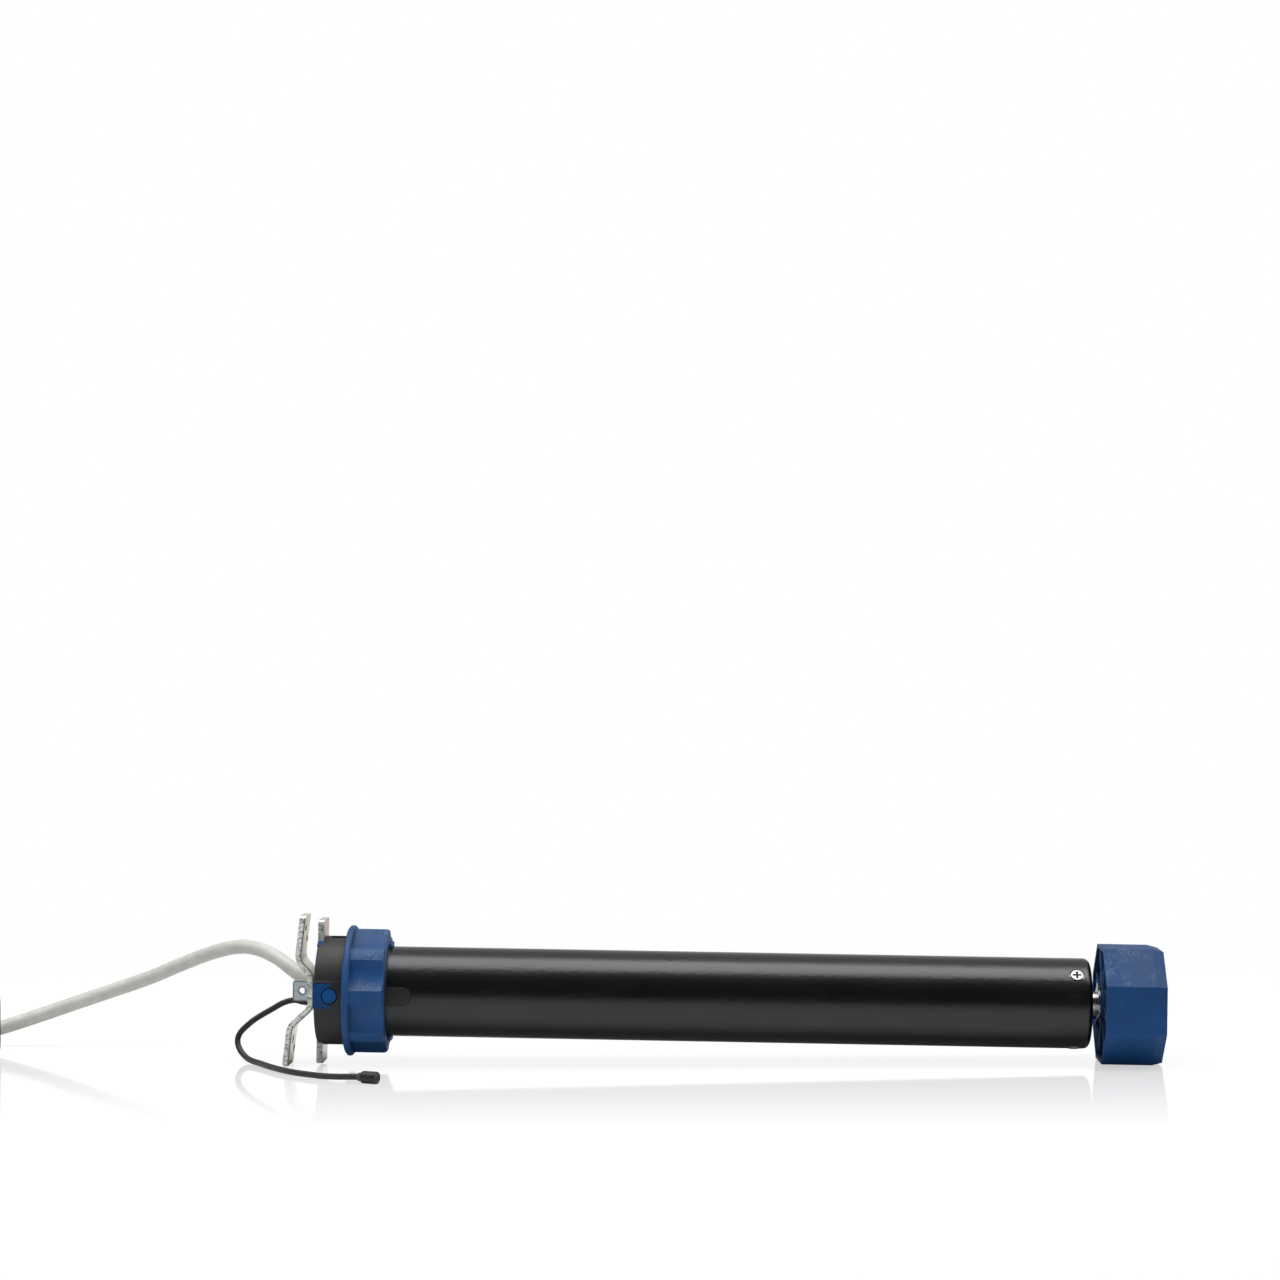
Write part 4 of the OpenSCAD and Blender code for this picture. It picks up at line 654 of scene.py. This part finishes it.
def finishes():
    """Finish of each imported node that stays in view, by node name."""
    # Castings are dull and sandy, ground steel bright and finely lined, stacked sheet darker, windings warm
    # and glossy under their lacquer, and sintered metal matte and open-grained
    grey_cast = metal("die-cast zinc alloy", hex_to_linear("#b4b6b8"), 0.45, 0.9, 0.15)
    bright = metal("ground steel", hex_to_linear("#c4c4c2"), 0.26, 0.6)
    dark_steel = metal("electrical steel", hex_to_linear("#85888b"), 0.4, 0.5, 0.12)
    copper = metal("enamelled copper", hex_to_linear("#b4633a"), 0.34, 0.7)
    bronze = metal("sintered bronze", hex_to_linear("#b8904f"), 0.5, 0.4, 0.2)
    sinter = metal("sintered steel", hex_to_linear("#a39372"), 0.5, 0.4, 0.2)
    # Acetal is milky, the brake lining coarse and dull, ferrite like stone, solder mask green and smooth,
    # and the cases of the relays, the terminals and the capacitor are plain and satin
    acetal = moulded("white acetal", hex_to_linear("#e4e1d6"), 0.9, 0.35, 0.05)
    fibre = moulded("brake lining", hex_to_linear("#5a574d"), 0.5, 0.75, 0.5, 0.15)
    ferrite = moulded("sintered ferrite", hex_to_linear("#46464b"), 0.4, 0.6, 0.2, 0.15)
    board = moulded("solder mask", hex_to_linear("#256338"), 0.8, 0.35, 0.05, 0.1)
    relay = moulded("blue relay case", hex_to_linear("#2b5aa0"), 0.8, 0.3, 0.04, 0.3)
    clamp_green = moulded("green terminal block", hex_to_linear("#6b8f5a"), 0.8, 0.45, 0.08, 0.2)
    case = moulded("capacitor case", hex_to_linear("#cfcfc9"), 0.9, 0.4, 0.05, 0.4)
    black, blue, zinc = black_abs(), blue_nylon(), zinc_plate()
    # The button is polished, the slide satin, and the wheel more rubbed than the crown
    blue_base = tuple(bpy.context.scene.motor_colours.blue_nylon)
    button = moulded("polished blue acetal", shade(blue_base, 1.25), 1.5, 0.3, 0.03, 0.5, index=1.3)
    slide = moulded("blue acetal", shade(blue_base, 0.85), 1.5, 0.5, 0.04, index=1.3)
    wheel = blue_nylon("blue nylon of the wheel", 1.38, 0.42, 1.0)
    return {
        "motor_tube": powder_coat(), "tube_screws": cross_screw(), "wheel_clip": bright,
        "head_housing": black, "button_cover": black, "switch_body": black, "cable_gland": black,
        "aerial_grommet": black, "cable_clamp": black, "electronics_tray": black, "capacitor_clips": black,
        "set_button": button, "release_slide": slide, "bar_retainer": slide,
        "crown_ring": blue, "drive_wheel": wheel,
        "wall_bracket": zinc, "bracket_bar": zinc, "bracket_spacer": zinc, "bracket_screw": bright,
        "switch_plunger": acetal, "ring_gear": acetal, "first_carrier": acetal, "first_planet_1": acetal,
        "first_planet_2": acetal, "first_planet_3": acetal,
        "output_planet_1": sinter, "output_planet_2": sinter, "output_planet_3": sinter,
        "rotor_shaft": bright, "rotor_core": dark_steel, "output_carrier": bright, "button_spring": bright,
        "brake_spring": bright, "brake_armature": bright, "brake_magnet": dark_steel,
        "stator_core": dark_steel, "radio_module": bright, "rear_shield": grey_cast,
        "front_shield": grey_cast, "brake_housing": grey_cast, "output_flange": grey_cast,
        "shaft_bushes": bronze, "stator_windings": copper, "brake_coil": copper,
        "brake_disc": fibre, "sensor_magnet": ferrite, "circuit_board": board, "sensor_board": board,
        "switch_board": board, "relays": relay, "terminal_block": clamp_green, "run_capacitor": case,
        "inner_leads": cable_pvc(),
    }


# Operators: cords first, then the finishes, then the stage

def coil_place(sizes):
    """Centre of the coil, the pitch of its turns and its outer radius."""
    pitch = sizes.cable_d + sizes.coil_gap
    out_r = sizes.coil_mid_r + pitch * COIL_LOOPS / 2
    x = COIL_START_MM[0] * MM - sizes.cable_d
    return np.array([x, COIL_START_MM[1] * MM - out_r, floor_height(x) + COIL_LIFT_MM * MM]), pitch, out_r


def laid(points, centre):
    """Points given on the resting surface at the coil, turned to its tilt about Y and moved to its centre."""
    p = np.asarray(points, float)
    c, s = math.cos(REST_TILT), math.sin(REST_TILT)
    return centre + np.stack([p[..., 0] * c - p[..., 2] * s, p[..., 1], p[..., 0] * s + p[..., 2] * c], -1)


def eased(t):
    """Smooth step: t^2 * (3 - 2t), held at 0 and 1."""
    t = np.clip(t, 0, 1)
    return t * t * (3 - 2 * t)


def coil_points(d, pitch, out_r, per_turn=48):
    """Coil after u turns: angle 90 + 360u degrees, radius in and out again by one pitch a turn,
    height up one pitch in the half turn about each reversal."""
    turns = (COIL_LAYERS - 1) * COIL_LOOPS + COIL_LOOPS / 2
    u = np.arange(int(turns * per_turn) + 1) / per_turn
    k = np.floor(u / COIL_LOOPS)
    v = u - k * COIL_LOOPS
    r = out_r - pitch * np.where(k % 2 == 0, v, COIL_LOOPS - v)
    level = sum(eased((u - n * COIL_LOOPS + 0.25) * 2) for n in range(1, COIL_LAYERS))
    a = np.radians(90 + 360 * u)
    return np.stack([r * np.cos(a), r * np.sin(a), d / 2 + pitch * level], -1)


class MOTOR_OT_power_cable(bpy.types.Operator):
    """Grey power cable with its coil, ties and stripped end"""

    bl_idname = "motor.power_cable"
    bl_label = "Power cable"

    def execute(self, context):
        sizes = context.scene.cord_sizes
        d = sizes.cable_d
        centre, pitch, out_r = coil_place(sizes)
        into = laid([(2 * d, out_r, d / 2), (d, out_r, d / 2)], centre)
        run = smooth_path(np.vstack([np.array(CABLE_ROUTE_MM) * MM, into]), 8)
        coil = coil_points(d, pitch, out_r)
        tail = coil[-1] - (d, 0, 0)
        path = np.vstack([run, laid(np.vstack([coil, tail]), centre)])
        heading = (-math.cos(REST_TILT), 0, -math.sin(REST_TILT))
        rings = rings_along(path, d / 2, sides=20, first=(-1, 0, 0), last=heading)
        cable = place("power_cable", tube_mesh("power_cable", rings, running_length(path)), cable_pvc())
        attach(cable, "motor")
        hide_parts("power_cable_run", "power_cable_coil")
        end = self.stripped_end(tail, centre, d)
        ties = self.ties(sizes, centre, pitch, out_r)
        return {"FINISHED"}

    def stripped_end(self, start, centre, d):
        """Cut sheath and four cores past it, each a tube with a bare copper tip."""
        cut_x = -CUT_SHEATH_MM * MM
        cut = start + np.linspace((0, 0, 0), (cut_x, 0, 0), CUT_POINTS)
        cut_radii = [d / 2] * (CUT_POINTS - 1) + [d / 2 - CHAMFER_MM * MM]
        tubes = [rings_along(laid(cut, centre), cut_radii, sides=24)]
        materials = [cable_pvc()]
        for y, z, code in CORES:
            length = (CORE_MM - (SHORTER_MM if y < 0 else 0)) * MM
            line = np.zeros((CORE_POINTS, 3))
            line[:, 0] = np.linspace(cut_x + CORE_INSIDE_MM * MM, cut_x - length, CORE_POINTS)
            line[:, 1:] = np.array([y, z]) * CORE_OFF_MM * MM
            radii = np.where(np.arange(CORE_POINTS) >= COPPER_FROM, COPPER_R_MM, CORE_R_MM) * MM
            tubes.append(rings_along(laid(start + line, centre), radii, sides=CORE_SIDES))
            materials.append(sheath(f"core {code[1:]}", hex_to_linear(code), 0.4))
        materials.append(metal("bare copper", hex_to_linear("#c9794c"), 0.3, 0.4))
        mesh = joined("cable_end", tubes)
        end = place("cable_tip", mesh, *materials)
        counts = [len(tube_faces(*rings.shape[:2])) for rings in tubes]
        first = np.cumsum([0] + counts)
        index = np.repeat(np.arange(len(tubes)), counts)
        for k in range(1, len(tubes)):
            index[first[k] + COPPER_FROM * CORE_SIDES : first[k + 1]] = len(tubes)
        mesh.polygons.foreach_set("material_index", index.astype(np.int32))
        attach(end, "motor")
        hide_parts("cable_end")
        return end

    def ties(self, sizes, centre, pitch, out_r):
        """Two flat nylon ties, each a superellipse loop swept by a flat strip: across = half * sign(cos s) *
        |cos s|^(2 / exponent), up the same with the sine, held above the resting surface."""
        d, thick, slack, side = sizes.cable_d, TIE_MM * MM, TIE_SLACK_MM * MM, TIE_WIDE_MM * MM / 2
        high = pitch * (COIL_LAYERS - 1) + d
        in_x = sizes.coil_mid_r - pitch * COIL_LOOPS / 2 - d / 2 - slack
        out_x = out_r + d / 2 + slack
        s = 2 * math.pi * np.arange(TIE_POINTS) / TIE_POINTS
        cx, cz = (np.sign(w) * np.abs(w) ** (2 / TIE_EXPONENT) for w in (np.cos(s), np.sin(s)))
        made = []
        for number, turn in enumerate(TIES_AT_DEG, 1):
            c, sn = np.cos(np.radians(turn)), np.sin(np.radians(turn))
            loops = []
            for grow, y in ((0, -side), (thick, -side), (thick, side), (0, side)):
                x = (in_x + out_x) / 2 + ((out_x - in_x) / 2 + grow) * cx
                z = high / 2 + (high / 2 + slack + grow) * cz
                z = np.maximum(z, TIE_FLAT_MM * MM - slack - thick)
                loops.append(np.stack([x * c - y * sn, x * sn + y * c, z], -1))
            points = laid(np.stack(loops, 1).reshape(-1, 3), centre)
            quads = grid_faces(TIE_POINTS + 1, len(loops)) % len(points)
            mesh = bpy.data.meshes.new(f"coil_tie_{number}")
            mesh.from_pydata(points.tolist(), [], quads.tolist())
            mesh.update()
            tie = place(f"coil_tie_{number}", mesh, black_abs())
            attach(tie, "motor")
            if number == 1:
                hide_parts("coil_ties")
            made.append(tie)
        return made


class MOTOR_OT_aerial(bpy.types.Operator):
    """Black aerial with its cap"""

    bl_idname = "motor.aerial"
    bl_label = "Aerial"

    def execute(self, context):
        d = context.scene.cord_sizes.aerial_d
        route = np.array(AERIAL_ROUTE_MM) * MM
        path = smooth_path(route, 6)
        ahead = route[-1] - route[-2]
        turn = math.atan2(ahead[1], ahead[0])
        rise = math.atan(math.tan(REST_TILT) * math.cos(turn))
        level = math.cos(rise)
        heading = np.array([level * math.cos(turn), level * math.sin(turn), math.sin(rise)])
        rings = rings_along(path, d / 2, sides=14, first=(-1, 0, 0), last=heading)
        wire = place("aerial", tube_mesh("aerial", rings, running_length(path)), aerial_pvc())
        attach(wire, "motor")
        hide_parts("aerial_wire")
        cap = self.cap(path[-1], heading)
        return {"FINISHED"}

    def cap(self, start, heading):
        """Moulded cap, turned about its heading from the profile."""
        x, r = np.array(CAP_LENGTH_MM) * MM, np.array(CAP_RADIUS_MM) * MM
        rings = rings_round(start + np.outer(x, heading), np.tile(heading, (len(x), 1)), r, sides=32)
        cap = place("aerial_cap", tube_mesh("aerial_cap", rings), black_abs())
        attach(cap, "motor")
        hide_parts("aerial_tip")
        return cap


class MOTOR_OT_finishes(bpy.types.Operator):
    """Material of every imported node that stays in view"""

    bl_idname = "motor.finishes"
    bl_label = "Finishes"

    def execute(self, context):
        for name, material in finishes().items():
            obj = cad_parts.get(name)
            if obj is None:
                raise RuntimeError(f"no node {name} in the frame")
            obj.data.materials.clear()
            obj.data.materials.append(material)
        return {"FINISHED"}


class MOTOR_OT_stage(bpy.types.Operator):
    """Camera, lights, glossy white floor and white surroundings"""

    bl_idname = "motor.stage"
    bl_label = "Stage"

    def execute(self, context):
        self.camera(context)
        self.lamps(context)
        self.floor()
        self.surroundings(context)
        context.scene.view_settings.view_transform = "Standard"
        return {"FINISHED"}

    def camera(self, context):
        data = bpy.data.cameras.new("camera")
        data.sensor_width = SENSOR_MM
        data.lens = FOCAL_PX * SENSOR_MM / PICTURE_PX
        data.clip_end = 50
        cam = bpy.data.objects.new("camera", data)
        cam.location = CAMERA_AT
        cam.rotation_euler = CAMERA_TURN
        context.scene.collection.objects.link(cam)
        context.scene.camera = cam

    def lamps(self, context):
        """A wide softbox overhead, and a weak one in front that reflections don't see."""
        for name, (size, at, aim, watts) in LAMPS.items():
            data = bpy.data.lights.new(name, "AREA")
            data.shape = "RECTANGLE"
            data.size, data.size_y = size
            data.energy = watts
            lamp = bpy.data.objects.new(name, data)
            lamp.location = at
            x, y, z = np.subtract(aim, at)
            lamp.rotation_euler = (math.atan2(math.hypot(x, y), -z), 0, math.atan2(-x, y))
            context.scene.collection.objects.link(lamp)
            lamp.visible_glossy = name != "front"

    def floor(self):
        """A tilted plane under the motor: white, with a faint mirror that fades towards the camera and
        behind, and a table that grows darker towards the camera in what the motor reflects."""
        material, tree = new_material("white acrylic floor")
        y = add(tree, "SeparateXYZ", {0: add(tree, "TexCoord")["Object"]})["Y"]
        runs = []
        for (start, end), (low, high), how in (
            (MIRROR_COMES, (0.0, 1.0), {}), (MIRROR_GOES, (MIRROR_SHARE, 0.0), SMOOTH),
            (SHADOW_COMES, (0.0, 1.0), SMOOTH), (SHADOW_GOES, (SHADOW_SHARE, 0.0), SMOOTH),
            (TABLE_COMES, TABLE_GREYS, {}),
        ):
            run = {"Value": y, "From Min": start, "From Max": end, "To Min": low, "To Max": high}
            runs.append(add(tree, "MapRange", run, **how)[0])
        mirror_comes, mirror_goes, shadow_comes, shadow_goes, grey = runs
        fade = add(tree, "Math", {0: mirror_comes, 1: mirror_goes}, operation="MULTIPLY")[0]
        shadowed = add(tree, "Math", {0: shadow_goes, 1: shadow_comes}, operation="MULTIPLY")[0]
        glow = add(tree, "Emission", {"Color": (1.0, 1.0, 1.0), "Strength": 1.0})[0]
        diffuse = add(tree, "BsdfDiffuse", {"Color": (0.8, 0.8, 0.8)})[0]
        mirror = add(tree, "BsdfGlossy", {"Color": (1.0, 1.0, 1.0), "Roughness": 0.06})[0]
        table = add(tree, "BsdfDiffuse", {"Color": grey})[0]
        lit = add(tree, "MixShader", {0: shadowed, 1: glow, 2: diffuse})[0]
        shown = add(tree, "MixShader", {0: fade, 1: lit, 2: mirror})[0]
        seen = add(tree, "LightPath")["Is Camera Ray"]
        both = add(tree, "MixShader", {0: seen, 1: table, 2: shown})[0]
        add(tree, "OutputMaterial", {"Surface": both})
        corners = [(FLOOR_X[i], FLOOR_Y[j]) for i, j in ((0, 0), (1, 0), (1, 1), (0, 1))]
        mesh = bpy.data.meshes.new("floor")
        mesh.from_pydata([(a, b, floor_height(a)) for a, b in corners], [], [(0, 1, 2, 3)])
        mesh.update()
        place("floor", mesh, material)

    def surroundings(self, context):
        """White to the camera. Reflections see a white band low behind the motor and a dim room elsewhere."""
        world = bpy.data.worlds.new("surroundings")
        context.scene.world = world
        world.use_nodes = True
        tree = world.node_tree
        tree.nodes.clear()
        way = add(tree, "SeparateXYZ", {0: add(tree, "TexCoord")["Generated"]})
        behind = add(tree, "MapRange", {"Value": way["Y"], "From Max": 0.5}, **SMOOTH)[0]
        fall = {"Value": way["Z"], "From Min": 0.15, "From Max": 0.45, "To Min": 1.0, "To Max": 0.5}
        low = add(tree, "MapRange", fall, **SMOOTH)[0]
        band = add(tree, "Math", {0: behind, 1: low}, operation="MULTIPLY")[0]
        dim = add(tree, "Math", {0: band, 1: 0.04}, operation="MAXIMUM")[0]
        seen = add(tree, "LightPath")
        eyes = {0: seen["Is Camera Ray"], 1: seen["Is Transmission Ray"]}
        to_eye = add(tree, "Math", eyes, operation="MAXIMUM")[0]
        rays = {0: seen["Is Glossy Ray"], 6: (0.3, 0.3, 0.3), 7: dim}
        glossy = add(tree, "Mix", rays, data_type="RGBA")[2]
        colour = add(tree, "Mix", {0: to_eye, 6: glossy, 7: (1.0, 1.0, 1.0)}, data_type="RGBA")[2]
        sky = add(tree, "Background", {"Color": colour, "Strength": 1.0})[0]
        add(tree, "OutputWorld", {"Surface": sky})


class MOTOR_PT_panel(bpy.types.Panel):
    """Buttons of the tubular motor's pieces"""

    bl_idname = "MOTOR_PT_panel"
    bl_label = "Tubular motor"
    bl_space_type = "VIEW_3D"
    bl_region_type = "UI"
    bl_category = "Tubular motor"

    def draw(self, context):
        layout = self.layout
        for name in ("powder_coat", "black_abs", "blue_nylon", "zinc", "cable_grey"):
            layout.prop(context.scene.motor_colours, name)
        for name in ("cable_d", "aerial_d", "coil_mid_r", "coil_gap"):
            layout.prop(context.scene.cord_sizes, name)
        for operator in OPERATORS:
            layout.operator(operator.bl_idname)


OPERATORS = (MOTOR_OT_stage, MOTOR_OT_power_cable, MOTOR_OT_aerial, MOTOR_OT_finishes)
CLASSES = (MotorColours, CordSizes, *OPERATORS, MOTOR_PT_panel)


def register():
    for cls in CLASSES:
        bpy.utils.register_class(cls)
    bpy.types.Scene.motor_colours = bpy.props.PointerProperty(type=MotorColours)
    bpy.types.Scene.cord_sizes = bpy.props.PointerProperty(type=CordSizes)


def unregister():
    del bpy.types.Scene.cord_sizes
    del bpy.types.Scene.motor_colours
    for cls in reversed(CLASSES):
        bpy.utils.unregister_class(cls)


def main():
    register()
    bpy.ops.motor.stage()
    bpy.ops.motor.power_cable()
    bpy.ops.motor.aerial()
    bpy.ops.motor.finishes()


if __name__ == "__main__":
    main()
